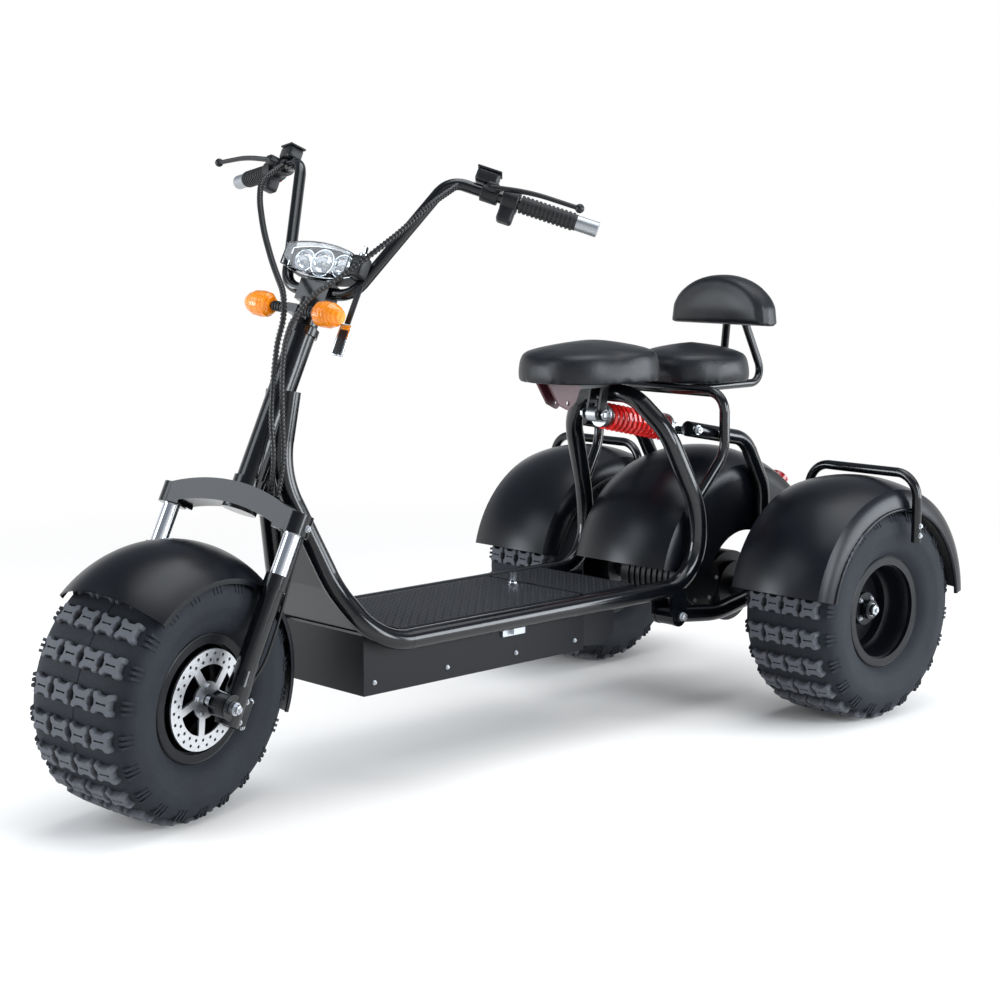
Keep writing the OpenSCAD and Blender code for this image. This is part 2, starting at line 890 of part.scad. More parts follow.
module sliders() {
    lug_w = slider_d - 4;
    color(paint)
        steered()
            for (side = [-1, 1]) difference() {
                union() {
                    translate([side * leg_x, -leg_ahead, slider_low]) {
                        cylinder(d = slider_d, h = slider_top - slider_low);
                        cylinder(d = foot_d, h = foot_h);
                        translate([0, 0, foot_h])
                            cylinder(d1 = foot_d, d2 = slider_d, h = 28);
                        translate([0, 0, slider_top - slider_low - collar_h])
                            cylinder(d = collar_d, h = collar_h);
                    }
                    translate([side * leg_x, -fork_offset, 0])
                        along_x(46, lug_w);
                }
                translate([side * leg_x, -leg_ahead, 148])
                    cylinder(d = stanchion_d + 2 * seat_gap, h = slider_top);
                translate([0, -fork_offset, 0]) {
                    along_x(front_axle_d + 2 * seat_gap, 2 * leg_span);
                    along_x(spacer_d + 2 * seat_gap, leg_span - slider_d + 2 * seat_gap);
                    translate([side * axle_reach, 0, 0])
                        along_x(axle_nut_d + 2 * seat_gap, 2 * (axle_nut_h + seat_gap));
                }
            }
}

hub_half = leg_x - slider_d / 2 - 7.5;
module front_axle() {
    color(zinc)
        front_wheel_at() {
            along_x(front_axle_d, 2 * axle_reach);
            for (side = [-1, 1]) {
                translate([side * (axle_reach - axle_nut_h / 2), 0, 0])
                    along_x(axle_nut_d, axle_nut_h);
                translate([side * (hub_half + 4.5), 0, 0])
                    along_x(spacer_d, 6);
            }
        }
}

front_fender_w = leg_span - collar_d - 2 * seat_gap;
module front_fender() {
    color(moulding)
        front_wheel_at()
            fender_sweep(front_fender_r, front_fender_w, 50, 52, 180, 24, 172);
}

disc_x = 98;
pad_gap = 3;
module brake_caliper() {
    body_x = rim_w / 2 + 5;
    bracket_x = disc_x + disc_t / 2 + pad_gap;
    color(rubber)
        front_wheel_at()
            difference() {
                union() {
                    translate([body_x, 44, -34])
                        cube([120 - body_x, 60, 68]);
                    translate([bracket_x, 28, -28])
                        cube([leg_x + 8 - bracket_x, 40, 56]);
                }
                translate([disc_x, 0, 0])
                    along_x(2 * (disc_r + pad_gap), disc_t + 2 * pad_gap);
                translate([leg_x, fork_offset - leg_ahead, -60])
                    cylinder(d = foot_d + 2 * seat_gap, h = 120);
            }
}
// Handlebar: corners of its left half from the clamp outwards
bar_low = [75, 4, 760];
bar_high = [170, 38, 1017];
bar_tip = [415, 169, 1011];
grip_dir = unit(bar_tip - bar_high);
bar_len = norm(bar_tip - bar_high);
function mirrored(p) = [-p.x, p.y, p.z];
module handlebar() {
    color(paint)
        steered()
            bent_tube([mirrored(bar_tip), mirrored(bar_high), mirrored(bar_low), bar_low, bar_high, bar_tip],
                [0, 42, 44, 44, 42, 0], bar_d);
}
// Both outer stretches of the bar, Z outwards from the upper bend
module at_grips() {
    for (side = [0, 1])
        mirror([side, 0, 0])
            translate(bar_high)
                rotate([0, acos(grip_dir.z), atan2(grip_dir.y, grip_dir.x)])
                    children();
}

clamp_top = 776;
module bar_clamp() {
    color(paint)
        steered()
            difference() {
                union() {
                    translate([0, 0, head_high + 4])
                        cylinder(d = 46, h = 48);
                    translate([-34, -14, 736])
                        cube([68, 36, clamp_top - 736]);
                    translate([-12, -54, 698])
                        cube([24, 40, 16]);
                }
                translate([0, 0, head_high])
                    cylinder(d = steerer_d + 2 * seat_gap, h = 701 - head_high);
                translate([0, bar_low.y, bar_low.z])
                    along_x(bar_d + 2 * seat_gap, 100);
            }
}

grip_from = 136;
grip_to = 242;
module grips() {
    color(rubber)
        steered()
            at_grips()
                difference() {
                    union() {
                        translate([0, 0, grip_from])
                            cylinder(d = grip_d - 4, h = grip_to - grip_from);
                        for (z = [grip_from : 8 : grip_to - 4])
                            translate([0, 0, z])
                                cylinder(d = grip_d, h = 4);
                    }
                    cylinder(d = bar_d + 2 * seat_gap, h = 400);
                }
}
module bar_ends() {
    color(chrome)
        steered()
            at_grips()
                difference() {
                    translate([0, 0, grip_to + seat_gap])
                        cylinder(d = 28, h = bar_len - grip_to + 4);
                    cylinder(d = bar_d + 2 * seat_gap, h = bar_len + seat_gap);
                }
}
module brake_levers() {
    tip = [417, 94, 1017];
    color(rubber)
        steered() {
            at_grips()
                difference() {
                    union() {
                        translate([0, 0, 62])
                            cylinder(d = 34, h = 32);
                        translate([-40, -16, 42])
                            cube([26, 32, 44]);
                        translate([-13, -37, 70])
                            cube([16, 30, 24]);
                    }
                    cylinder(d = bar_d + 2 * seat_gap, h = 400);
                }
            for (side = [0, 1])
                mirror([side, 0, 0]) {
                    bent_tube([[258, 52, 1020], [330, 66, 1024], tip], [0, 80, 0], 10);
                    translate(tip)
                        sphere(d = 17);
                }
        }
}
module switch_pods() {
    color(rubber)
        steered()
            at_grips()
                difference() {
                    union() {
                        translate([0, 0, 102])
                            cylinder(d = 44, h = 30);
                        translate([0, -14, 102])
                            cube([44, 28, 30]);
                    }
                    cylinder(d = bar_d + 2 * seat_gap, h = 400);
                }
}

// Headlight: an arched case with the clear lens in front of it
lamp_w = 146;
lamp_h = 60;
lamp_arc = 280;
lamp_up = 810;
lamp_back = -22;
lens_back = 16;
lens_front = 38;
module lamp_outline(inset) {
    intersection() {
        for_arc = lamp_h / 2 - lamp_arc;
        translate([0, for_arc])
            circle(r = lamp_arc - inset, $fn = 240);
        translate([0, -for_arc])
            circle(r = lamp_arc - inset, $fn = 240);
        square([lamp_w - 2 * inset, lamp_h], center = true);
    }
}
module lamp_slice(back, front, inset) {
    steered()
        translate([0, -back, lamp_up])
            rotate([90, 0, 0])
                linear_extrude(front - back)
                    lamp_outline(inset);
}
module headlight_body() {
    wall = 3;
    color(moulding) {
        difference() {
            lamp_slice(lamp_back, lens_back - seat_gap, 0);
            lamp_slice(lamp_back + wall, lens_back + 1, wall);
        }
        steered()
            translate([0, 4, clamp_top + seat_gap])
                cylinder(d = 18, h = lamp_up - lamp_h / 2 + 1.5 - clamp_top);
    }
}
module headlight_lens() {
    wall = 2.5;
    color("#e8eef2")
        difference() {
            lamp_slice(lens_back, lens_front, 0);
            lamp_slice(lens_back - 1, lens_front - wall, wall);
        }
}
// Key switch beside the lamp, with its key and fob hanging
module key_switch() {
    case = [28, 28, 40];
    fob = [26, 8, 62];
    hang = 88;
    ring = [24, 22, -hang];
    color(moulding)
        steered()
            translate([lamp_w / 2 + seat_gap, -32, lamp_up - case.z / 2]) {
                cube(case);
                translate(ring)
                    cylinder(d = 4, h = hang + 1);
                translate(ring + [-fob.x / 2, -fob.y / 2, 2 - fob.z])
                    cube(fob);
            }
}
signal_at = [50, -44, 706];
signal_w = 56;
signal_r = 24;
module at_signals() {
    steered()
        for (side = [0, 1])
            mirror([side, 0, 0])
                translate(signal_at)
                    rotate([0, 90, 0])
                        children();
}
module signal_stalks() {
    stalk = signal_at.x - 12 - 2 * seat_gap;
    color(rubber)
        at_signals()
            translate([0, 0, -stalk - seat_gap]) {
                cylinder(d = 14, h = stalk);
                for (i = [0 : 4])
                    translate([0, 0, 6 + 6 * i])
                        cylinder(d = 19, h = 3.5);
            }
}
module signal_lenses() {
    color(amber)
        at_signals()
            rotate_extrude()
                polygon([[0, 0], [15, 0], [signal_r - 2, 8], [signal_r, 20], [signal_r - 1, 36],
                    [signal_r - 6, 48], [signal_r - 12, signal_w], [0, signal_w]]);
}

// Wrapped cable looms from the controls past the lamp, down beside the column to behind the crown
loom_left = [
    [193, 34, 1006.6], [190, -18, 947], [177, -56, 875], [155, -86, 815], [117, -96, 763], [66, -97, 716],
    [46, -95, 668], [42, -89, 629], [46, -70, 573], [60, -40, 496], [70, -14, 436], [73, -2, 374.5]];
loom_right = [
    [-220.7, 47.5, 1007.8], [-213, -4, 955], [-186, -18, 908], [-126, -48, 841], [-53, -78, 771], [8, -95, 716],
    [26, -93, 668], [25, -88, 629], [29, -72, 573], [46, -58, 496], [62, -34, 436], [57, -4, 378.8]];
hose_path = [[139.5, 17, 328], [138, 24, 250], [136, 38, 160], [126, 52, 90], [110, 47, 35.5]];
module cables() {
    color(rubber)
        steered() {
            for (path = [loom_left, loom_right])
                bent_tube(path, easy(path), loom_d);
            bent_tube(hose_path, easy(hose_path), hose_d);
        }
}

// Wheels
module tyre() {
    n = len(tread_loop);
    stations = 3 * lug_rows;
    polyhedron(tyre_points, [
        for (i = [0 : stations - 1]) for (j = [0 : n - 1])
            let (i2 = (i + 1) % stations, j2 = (j + 1) % n)
                [i * n + j, i * n + j2, i2 * n + j2, i2 * n + j]], convexity = 10);
}

// Half section of a rim: barrel, flanges and web, with its hub between two widths
module rim(web, hub_r, from, to, bore) {
    rotate([0, 90, 0])
        rotate_extrude()
            difference() {
                union() {
                    translate([bead_r - rim_t, -rim_w / 2])
                        square([rim_t, rim_w]);
                    for (w = [-rim_w / 2, rim_w / 2 - rim_t])
                        translate([bead_r - rim_t, w])
                            square([rim_t + flange_h, rim_t]);
                    translate([0, web])
                        square([bead_r - 1, 2 * rim_t]);
                    translate([0, from])
                        square([hub_r, to - from]);
                }
                translate([-1, -300])
                    square([1 + bore / 2, 600]);
            }
}

module front_tyre() {
    color(rubber)
        front_wheel_at()
            tyre();
}
module front_rim() {
    color(paint)
        front_wheel_at()
            rim(-20, 30, -hub_half, disc_x - disc_t / 2 - seat_gap, front_axle_d + 2 * run_gap);
}
module front_disc() {
    spokes = 5;
    spoke_w = 15;
    lean = 26;
    ring_in = 63;
    hub_r = 33;
    holes = 24;
    hole_rows = [[disc_r - 8, 0], [disc_r - 19, 0.5]];
    deep = 4 * disc_t;
    color(chrome)
        front_wheel_at()
            translate([disc_x, 0, 0])
                rotate([0, 90, 0])
                    difference() {
                        cylinder(r = disc_r, h = disc_t, center = true);
                        cylinder(d = front_axle_d + 4, h = deep, center = true);
                        linear_extrude(deep, center = true)
                            difference() {
                                circle(ring_in);
                                circle(hub_r);
                                for (i = [0 : spokes - 1])
                                    rotate(360 / spokes * i)
                                        translate([hub_r - 10, -spoke_w / 2])
                                            rotate(lean)
                                                square([disc_r, spoke_w]);
                            }
                        for (row = hole_rows) for (i = [0 : holes - 1])
                            rotate(360 / holes * (i + row[1]))
                                translate([row[0], 0, 0])
                                    cylinder(d = 6, h = deep, center = true);
                    }
}
module rear_tyre_left() {
    color(rubber)
        rear_wheel_at(1)
            tyre();
}
module rear_tyre_right() {
    color(rubber)
        rear_wheel_at(-1)
            tyre();
}
module rear_rim(side) {
    color(paint)
        rear_wheel_at(side)
            mirror([side > 0 ? 0 : 1, 0, 0])
                rim(8, 34, hub_in - rear_track / 2, hub_out - rear_track / 2, rear_axle_d + 2 * run_gap);
}
module rear_rim_left() rear_rim(1);
module rear_rim_right() rear_rim(-1);

head_tube();
main_frame();
leg_shield();
deck_crossbar();
battery_box();
battery_pack();
rear_deck();
rear_mat();
controller_box();
pivot_brackets();
swing_arm();
rear_axle();
drive_motor();
shock_body();
shock_coil();
centre_fender();
rear_fenders();
fender_brackets();
driver_saddle();
saddle_bracket();
passenger_saddle();
passenger_frame();
backrest_pad();
tail_lamp();
brake_equaliser();
deck_lid();
deck_mat();
lid_lock();
fork_crown();
stanchions();
sliders();
front_axle();
front_fender();
brake_caliper();
bar_clamp();
handlebar();
grips();
bar_ends();
brake_levers();
switch_pods();
headlight_body();
headlight_lens();
key_switch();
signal_stalks();
signal_lenses();
cables();
front_tyre();
front_rim();
front_disc();
rear_tyre_left();
rear_rim_left();
rear_tyre_right();
rear_rim_right();
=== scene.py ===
# %% [markdown]
# # An electric trike on balloon tyres
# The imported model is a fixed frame: every tube, fender and wheel is already in its place, in metres.
# This lesson dresses that frame. It gives each solid the finish of the real thing, and it makes what
# solids do badly: stuffed saddles, knobbly tread, the spiral wrap on the cables, bolts and lamp glass.

# %% Load the frame and keep its box
import json
import math
import bpy
import bmesh
from mathutils import Matrix, Vector


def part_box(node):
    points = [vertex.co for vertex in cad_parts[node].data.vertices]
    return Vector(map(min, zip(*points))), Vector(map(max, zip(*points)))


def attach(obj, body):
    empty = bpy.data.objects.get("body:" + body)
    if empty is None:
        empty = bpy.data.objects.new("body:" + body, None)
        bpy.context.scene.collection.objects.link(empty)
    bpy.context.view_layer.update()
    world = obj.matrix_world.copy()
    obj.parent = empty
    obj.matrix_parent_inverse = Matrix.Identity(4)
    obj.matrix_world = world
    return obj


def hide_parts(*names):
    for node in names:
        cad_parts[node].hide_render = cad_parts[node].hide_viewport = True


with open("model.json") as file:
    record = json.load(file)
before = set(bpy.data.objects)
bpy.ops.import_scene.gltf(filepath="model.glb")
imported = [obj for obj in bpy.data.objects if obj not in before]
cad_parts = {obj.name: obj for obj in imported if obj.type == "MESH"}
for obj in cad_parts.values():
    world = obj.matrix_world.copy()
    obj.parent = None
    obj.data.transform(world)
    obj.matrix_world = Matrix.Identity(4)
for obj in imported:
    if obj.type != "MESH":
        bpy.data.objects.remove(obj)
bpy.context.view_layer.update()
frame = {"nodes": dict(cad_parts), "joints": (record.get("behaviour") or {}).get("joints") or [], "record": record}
nodes = frame["nodes"]
joints = {j["name"]: j for j in frame["joints"]}
body_of = {n: b for b, names in frame["record"]["behaviour"]["bodies"].items() for n in names}
slot_of = {s["node"]: s["material_slot"] for s in frame["record"]["subparts"]}

# %% [markdown]
# ## Camera
# The photograph was taken from the trike's front left, at about the height of the bar. The wheels'
# ellipses fix where the lens stood, so the camera is written as a place, a heading and a height angle.


# %% Camera
def shown(name, data):
    made = bpy.data.objects.new(name, data)
    bpy.context.scene.collection.objects.link(made)
    return made


HEADING, ABOVE = math.radians(46.17), math.radians(8.19)
STANDS = (2.8413, -2.66435, 1.0422)  # metres
FOCAL, SENSOR = 71.77, 36.0  # millimetres
level = math.cos(ABOVE)
backwards = Vector((math.sin(HEADING) * level, -math.cos(HEADING) * level, math.sin(ABOVE)))
rightwards = Vector((math.cos(HEADING), math.sin(HEADING), 0))
upwards = backwards.cross(rightwards)
lens = bpy.data.cameras.new("studio_camera")
lens.sensor_fit, lens.sensor_width, lens.lens = "HORIZONTAL", SENSOR, FOCAL
camera = shown("studio_camera", lens)
turn = Matrix((rightwards, upwards, backwards)).transposed().to_4x4()
camera.matrix_world = Matrix.Translation(STANDS) @ turn
bpy.context.scene.camera = camera
print("camera at", [round(c, 3) for c in STANDS], "lens", lens.lens)

# %% [markdown]
# ## Materials
# A procedural material is a small graph of nodes. One helper adds a node, sets what it is told and
# joins what it is given, so that a whole finish reads as a few lines. A pattern is laid out in the
# piece's own coordinates, and its size is a real one in millimetres. Colours are written as the hex
# values that a paint chart would give, and are turned to the linear light that the renderer works in.


# %% Helpers for materials
def linear(code):
    part = [int(code[i:i + 2], 16) / 255 for i in (1, 3, 5)]
    return tuple(c / 12.92 if c <= 0.04045 else ((c + 0.055) / 1.055) ** 2.4 for c in part) + (1.0,)


def wire(node, inputs):
    for name, value in inputs.items():
        if isinstance(value, bpy.types.NodeSocket):
            node.id_data.links.new(value, node.inputs[name])
        else:
            node.inputs[name].default_value = value


def put(tree, kind, inputs=None, **settings):
    made = tree.nodes.new(kind)
    for name, value in settings.items():
        setattr(made, name, value)
    wire(made, inputs or {})
    return made


def finish(name, colour, roughness, **sockets):
    made = bpy.data.materials.new(name)
    made.use_nodes = True
    tree = made.node_tree
    shader = tree.nodes["Principled BSDF"]
    wire(shader, {"Base Color": linear(colour), "Roughness": roughness})
    wire(shader, {key.replace("_", " "): value for key, value in sockets.items()})
    return made, tree, shader, put(tree, "ShaderNodeTexCoord").outputs["Object"]


def mm(size):
    return 1000.0 / size


print("helpers: linear, wire, put, finish, mm")

# %% [markdown]
# ### Painted and plated metal
# The tubes are powder coated: a thick gloss film that flows like orange peel, so the highlights are
# bright but not mirror sharp. The rims and the battery box carry a thinner satin coat. Plating is a
# metal surface with almost no colour of its own.

# %% Powder coat, satin coat and primer
# Powder coat, baked on steel tube: bright highlights that are a little wavy. The orange peel is about
# 2 mm; 6 mm is the finest that shows at this size
powder_coat, tree, shader, spot = finish(
    "powder_coat_black", "#07090d", 0.17, Specular_IOR_Level=0.4, Coat_Weight=0.2, Coat_Roughness=0.05)
peel = put(tree, "ShaderNodeTexNoise", {"Vector": spot, "Scale": mm(6), "Detail": 1.0})
rough = put(tree, "ShaderNodeMapRange", {"Value": peel.outputs["Fac"], "To Min": 0.13, "To Max": 0.22})
bump = put(tree, "ShaderNodeBump", {"Height": peel.outputs["Fac"], "Strength": 0.05, "Distance": 0.001})
wire(shader, {"Roughness": rough.outputs["Result"], "Normal": bump.outputs["Normal"]})

# Satin coat, sprayed on sheet steel: broad, dull highlights. Its fine speck is drawn at 4 mm to show
satin_coat, tree, shader, spot = finish("satin_coat_black", "#090b10", 0.34, Specular_IOR_Level=0.25)
speck = put(tree, "ShaderNodeTexNoise", {"Vector": spot, "Scale": mm(4), "Detail": 3.0})
rough = put(tree, "ShaderNodeMapRange", {"Value": speck.outputs["Fac"], "To Min": 0.28, "To Max": 0.44})
bump = put(tree, "ShaderNodeBump", {"Height": speck.outputs["Fac"], "Strength": 0.08, "Distance": 0.0008})
wire(shader, {"Roughness": rough.outputs["Result"], "Normal": bump.outputs["Normal"]})

# Red oxide primer on the bracket: blotchy and almost matt, and it ends under black paint
PAINT_LINE, PAINT_EDGE = 0.272, 0.006  # metres behind the middle where the primer ends, and over how much
oxide_coat, tree, shader, spot = finish("oxide_red_coat", "#4a1b20", 0.42)
stain = put(tree, "ShaderNodeTexNoise", {"Vector": spot, "Scale": mm(18), "Detail": 4.0})
tone = put(tree, "ShaderNodeMix", {
    0: stain.outputs["Fac"], 6: linear("#33121a"), 7: linear("#4c1c26")}, data_type="RGBA")
axes = put(tree, "ShaderNodeSeparateXYZ", {"Vector": spot})
painted_over = put(tree, "ShaderNodeMapRange", {
    "Value": axes.outputs["Y"], "From Min": PAINT_LINE, "From Max": PAINT_LINE + PAINT_EDGE})
coat = put(tree, "ShaderNodeMix", {
    0: painted_over.outputs["Result"], 6: tone.outputs[2], 7: linear("#08090d")}, data_type="RGBA")
wire(shader, {"Base Color": coat.outputs[2]})

# Enamel on the coil spring: a glossy red that flowed a little thicker and thinner
spring_coat, tree, shader, spot = finish(
    "spring_enamel_red", "#dc1f1f", 0.24, Coat_Weight=0.5, Coat_Roughness=0.06)
flow = put(tree, "ShaderNodeTexNoise", {"Vector": spot, "Scale": mm(9), "Detail": 2.0})
tone = put(tree, "ShaderNodeMix", {
    0: flow.outputs["Fac"], 6: linear("#cf1a1b"), 7: linear("#ee2c27")}, data_type="RGBA")
wire(shader, {"Base Color": tone.outputs[2]})
print("coats:", powder_coat.name, satin_coat.name, oxide_coat.name, spring_coat.name)

# %% Plating, ground steel and castings
# Chrome plate, polished: a mirror with a faint haze in patches of about a centimetre
chrome_plate, tree, shader, spot = finish("chrome_plate", "#dfe3e8", 0.08, Metallic=1.0)
polish = put(tree, "ShaderNodeTexNoise", {"Vector": spot, "Scale": mm(12), "Detail": 3.0})
rough = put(tree, "ShaderNodeMapRange", {"Value": polish.outputs["Fac"], "To Min": 0.04, "To Max": 0.14})
wire(shader, {"Roughness": rough.outputs["Result"]})

# Zinc plate on bolts and small steel parts: a soft grey shine, uneven in patches drawn at 5 mm to show
zinc_plate, tree, shader, spot = finish("zinc_plate", "#b9bdc2", 0.34, Metallic=1.0)
spangle = put(tree, "ShaderNodeTexVoronoi", {"Vector": spot, "Scale": mm(5)})
rough = put(tree, "ShaderNodeMapRange", {
    "Value": spangle.outputs["Distance"], "To Min": 0.24, "To Max": 0.46})
wire(shader, {"Roughness": rough.outputs["Result"]})

# Ground disc steel: bright and streaky. Grinding marks are finer than this; 3 mm is drawn so that they show
ground_steel, tree, shader, spot = finish("ground_disc_steel", "#d3d6da", 0.3, Metallic=1.0)
grind = put(tree, "ShaderNodeTexNoise", {"Vector": spot, "Scale": mm(3), "Detail": 5.0})
rough = put(tree, "ShaderNodeMapRange", {"Value": grind.outputs["Fac"], "To Min": 0.26, "To Max": 0.5})
tone = put(tree, "ShaderNodeMix", {
    0: grind.outputs["Fac"], 6: linear("#c4c7cb"), 7: linear("#e2e4e7")}, data_type="RGBA")
wire(shader, {"Roughness": rough.outputs["Result"], "Base Color": tone.outputs[2]})

# Coated alloy casting: dark, with a rough skin that breaks up the highlights. Its grain is drawn at 3 mm
casting, tree, shader, spot = finish("coated_alloy_casting", "#0d0f13", 0.4, Specular_IOR_Level=0.35)
skin = put(tree, "ShaderNodeTexNoise", {"Vector": spot, "Scale": mm(3), "Detail": 4.0})
bump = put(tree, "ShaderNodeBump", {"Height": skin.outputs["Fac"], "Strength": 0.25, "Distance": 0.0008})
wire(shader, {"Normal": bump.outputs["Normal"]})

# Bare alloy, turned on a lathe: a grey shine between dull and bright. Its marks are drawn at 4 mm to show
bare_alloy, tree, shader, spot = finish("bare_alloy", "#a9adb2", 0.38, Metallic=1.0)
lathe = put(tree, "ShaderNodeTexNoise", {"Vector": spot, "Scale": mm(4), "Detail": 4.0})
rough = put(tree, "ShaderNodeMapRange", {"Value": lathe.outputs["Fac"], "To Min": 0.28, "To Max": 0.5})
wire(shader, {"Roughness": rough.outputs["Result"]})
print("metals:", chrome_plate.name, zinc_plate.name, ground_steel.name, casting.name, bare_alloy.name)

# %% [markdown]
# ### Plastics, rubber and vinyl
# The fenders are moulded ABS with a satin skin. Tyre rubber is matt and a little dusty. The saddles are
# covered in vinyl with a pressed leather grain, and the mat is moulded rubber with a dull bloom.

# %% Moulded plastic
# ABS, moulded: a satin skin whose gloss varies in broad swirls. Its fine grain is drawn at 5 mm to show
abs_skin, tree, shader, spot = finish("abs_moulding_black", "#080b11", 0.3, Specular_IOR_Level=0.26)
swirl = put(tree, "ShaderNodeTexNoise", {"Vector": spot, "Scale": mm(90), "Detail": 3.0})
grain = put(tree, "ShaderNodeTexNoise", {"Vector": spot, "Scale": mm(5), "Detail": 2.0})
rough = put(tree, "ShaderNodeMapRange", {"Value": swirl.outputs["Fac"], "To Min": 0.25, "To Max": 0.36})
bump = put(tree, "ShaderNodeBump", {"Height": grain.outputs["Fac"], "Strength": 0.04, "Distance": 0.0008})
wire(shader, {"Roughness": rough.outputs["Result"], "Normal": bump.outputs["Normal"]})

# Case plastic, moulded with a pebbled grain: dull, with no clear highlight. The grain is drawn at 3 mm
case_plastic, tree, shader, spot = finish("grained_case_plastic", "#0e1014", 0.46, Specular_IOR_Level=0.35)
grain = put(tree, "ShaderNodeTexVoronoi", {"Vector": spot, "Scale": mm(3)})
bump = put(tree, "ShaderNodeBump", {
    "Height": grain.outputs["Distance"], "Strength": 0.15, "Distance": 0.0006})
wire(shader, {"Normal": bump.outputs["Normal"]})

# Spiral wrap, extruded: glossy where it is new and dull where it is scuffed
spiral_wrap, tree, shader, spot = finish("spiral_wrap_plastic", "#0d0e10", 0.26)
scuff = put(tree, "ShaderNodeTexNoise", {"Vector": spot, "Scale": mm(10), "Detail": 3.0})
rough = put(tree, "ShaderNodeMapRange", {"Value": scuff.outputs["Fac"], "To Min": 0.28, "To Max": 0.46})
wire(shader, {"Roughness": rough.outputs["Result"]})
print("plastics:", abs_skin.name, case_plastic.name, spiral_wrap.name)

# %% Rubber and vinyl
# Tyre rubber, moulded: matt, with dust in patches of a few centimetres. Its pits are drawn at 4 mm to show
tread_rubber, tree, shader, spot = finish("tread_rubber", "#1c1f25", 0.66, Specular_IOR_Level=0.25)
dust = put(tree, "ShaderNodeTexNoise", {"Vector": spot, "Scale": mm(60), "Detail": 6.0})
pits = put(tree, "ShaderNodeTexNoise", {"Vector": spot, "Scale": mm(4), "Detail": 4.0})
tone = put(tree, "ShaderNodeMix", {
    0: dust.outputs["Fac"], 6: linear("#15181d"), 7: linear("#22262d")}, data_type="RGBA")
# The tops of the knobs are scuffed and dusty: the mesh marks them with its own attribute
worn = put(tree, "ShaderNodeAttribute", attribute_name="worn")
scuffed = put(tree, "ShaderNodeMix", {
    0: worn.outputs["Fac"], 6: tone.outputs[2], 7: linear("#55575d")}, data_type="RGBA")
rough = put(tree, "ShaderNodeMapRange", {"Value": pits.outputs["Fac"], "To Min": 0.6, "To Max": 0.85})
bump = put(tree, "ShaderNodeBump", {"Height": pits.outputs["Fac"], "Strength": 0.2, "Distance": 0.001})
wire(shader, {"Base Color": scuffed.outputs[2], "Roughness": rough.outputs["Result"],
              "Normal": bump.outputs["Normal"]})

# Grip rubber, moulded and soft: dull all over. Its pits are drawn at 3 mm to show
soft_rubber, tree, shader, spot = finish("soft_grip_rubber", "#141518", 0.58)
pits = put(tree, "ShaderNodeTexNoise", {"Vector": spot, "Scale": mm(3), "Detail": 3.0})
bump = put(tree, "ShaderNodeBump", {"Height": pits.outputs["Fac"], "Strength": 0.2, "Distance": 0.0008})
wire(shader, {"Normal": bump.outputs["Normal"]})

# Moulded rubber has a dull bloom in patches of a few centimetres and a skin of about 2 mm, drawn at 3
mat_rubber, tree, shader, spot = finish("moulded_mat_rubber", "#14161a", 0.5, Specular_IOR_Level=0.3)
bloom = put(tree, "ShaderNodeTexNoise", {"Vector": spot, "Scale": mm(45), "Detail": 4.0})
skin = put(tree, "ShaderNodeTexNoise", {"Vector": spot, "Scale": mm(3), "Detail": 3.0})
tone = put(tree, "ShaderNodeMix", {
    0: bloom.outputs["Fac"], 6: linear("#101216"), 7: linear("#1c1f25")}, data_type="RGBA")
bump = put(tree, "ShaderNodeBump", {"Height": skin.outputs["Fac"], "Strength": 0.2, "Distance": 0.0008})
wire(shader, {"Base Color": tone.outputs[2], "Normal": bump.outputs["Normal"]})

# Vinyl with a pressed hide grain: a soft sheen that changes over broad folds. The grain is 2 mm; 5 mm
# cells are the finest that show
vinyl_hide, tree, shader, spot = finish("grained_saddle_vinyl", "#0e1116", 0.4, Specular_IOR_Level=0.36)
cells = put(tree, "ShaderNodeTexVoronoi", {"Vector": spot, "Scale": mm(5)}, feature="DISTANCE_TO_EDGE")
folds = put(tree, "ShaderNodeTexNoise", {"Vector": spot, "Scale": mm(70), "Detail": 3.0})
rough = put(tree, "ShaderNodeMapRange", {"Value": folds.outputs["Fac"], "To Min": 0.34, "To Max": 0.46})
bump = put(tree, "ShaderNodeBump", {
    "Height": cells.outputs["Distance"], "Strength": 0.12, "Distance": 0.0008})
wire(shader, {"Roughness": rough.outputs["Result"], "Normal": bump.outputs["Normal"]})
print("rubber and vinyl:", tread_rubber.name, soft_rubber.name, mat_rubber.name, vinyl_hide.name)

# %% [markdown]
# ### Lamp glass
# The headlight is clear polycarbonate with a slightly wavy face. The indicators are amber acrylic with
# moulded rings, the tail lamp is red acrylic in cells, and the bulbs are frosted glass. Only the clear
# lens lets all light through: the others pass less than a third, so they keep their colour.

# %% Lamp glass
# Clear polycarbonate, moulded: it shows what is behind it, a little bent
clear_lens, tree, shader, spot = finish(
    "clear_polycarbonate", "#f2f5f7", 0.04, IOR=1.45, Transmission_Weight=1.0)
flutes = put(tree, "ShaderNodeTexNoise", {"Vector": spot, "Scale": mm(14), "Detail": 1.0})
bump = put(tree, "ShaderNodeBump", {"Height": flutes.outputs["Fac"], "Strength": 0.12, "Distance": 0.002})
wire(shader, {"Normal": bump.outputs["Normal"]})

# Amber acrylic, moulded in rings: its base colour carries a painted glint along each ring and a painted glow in
# patches, where the orange is lighter
amber_lens, tree, shader, spot = finish(
    "amber_acrylic", "#f08a0c", 0.12, IOR=1.45, Transmission_Weight=0.25, Coat_Weight=0.4)
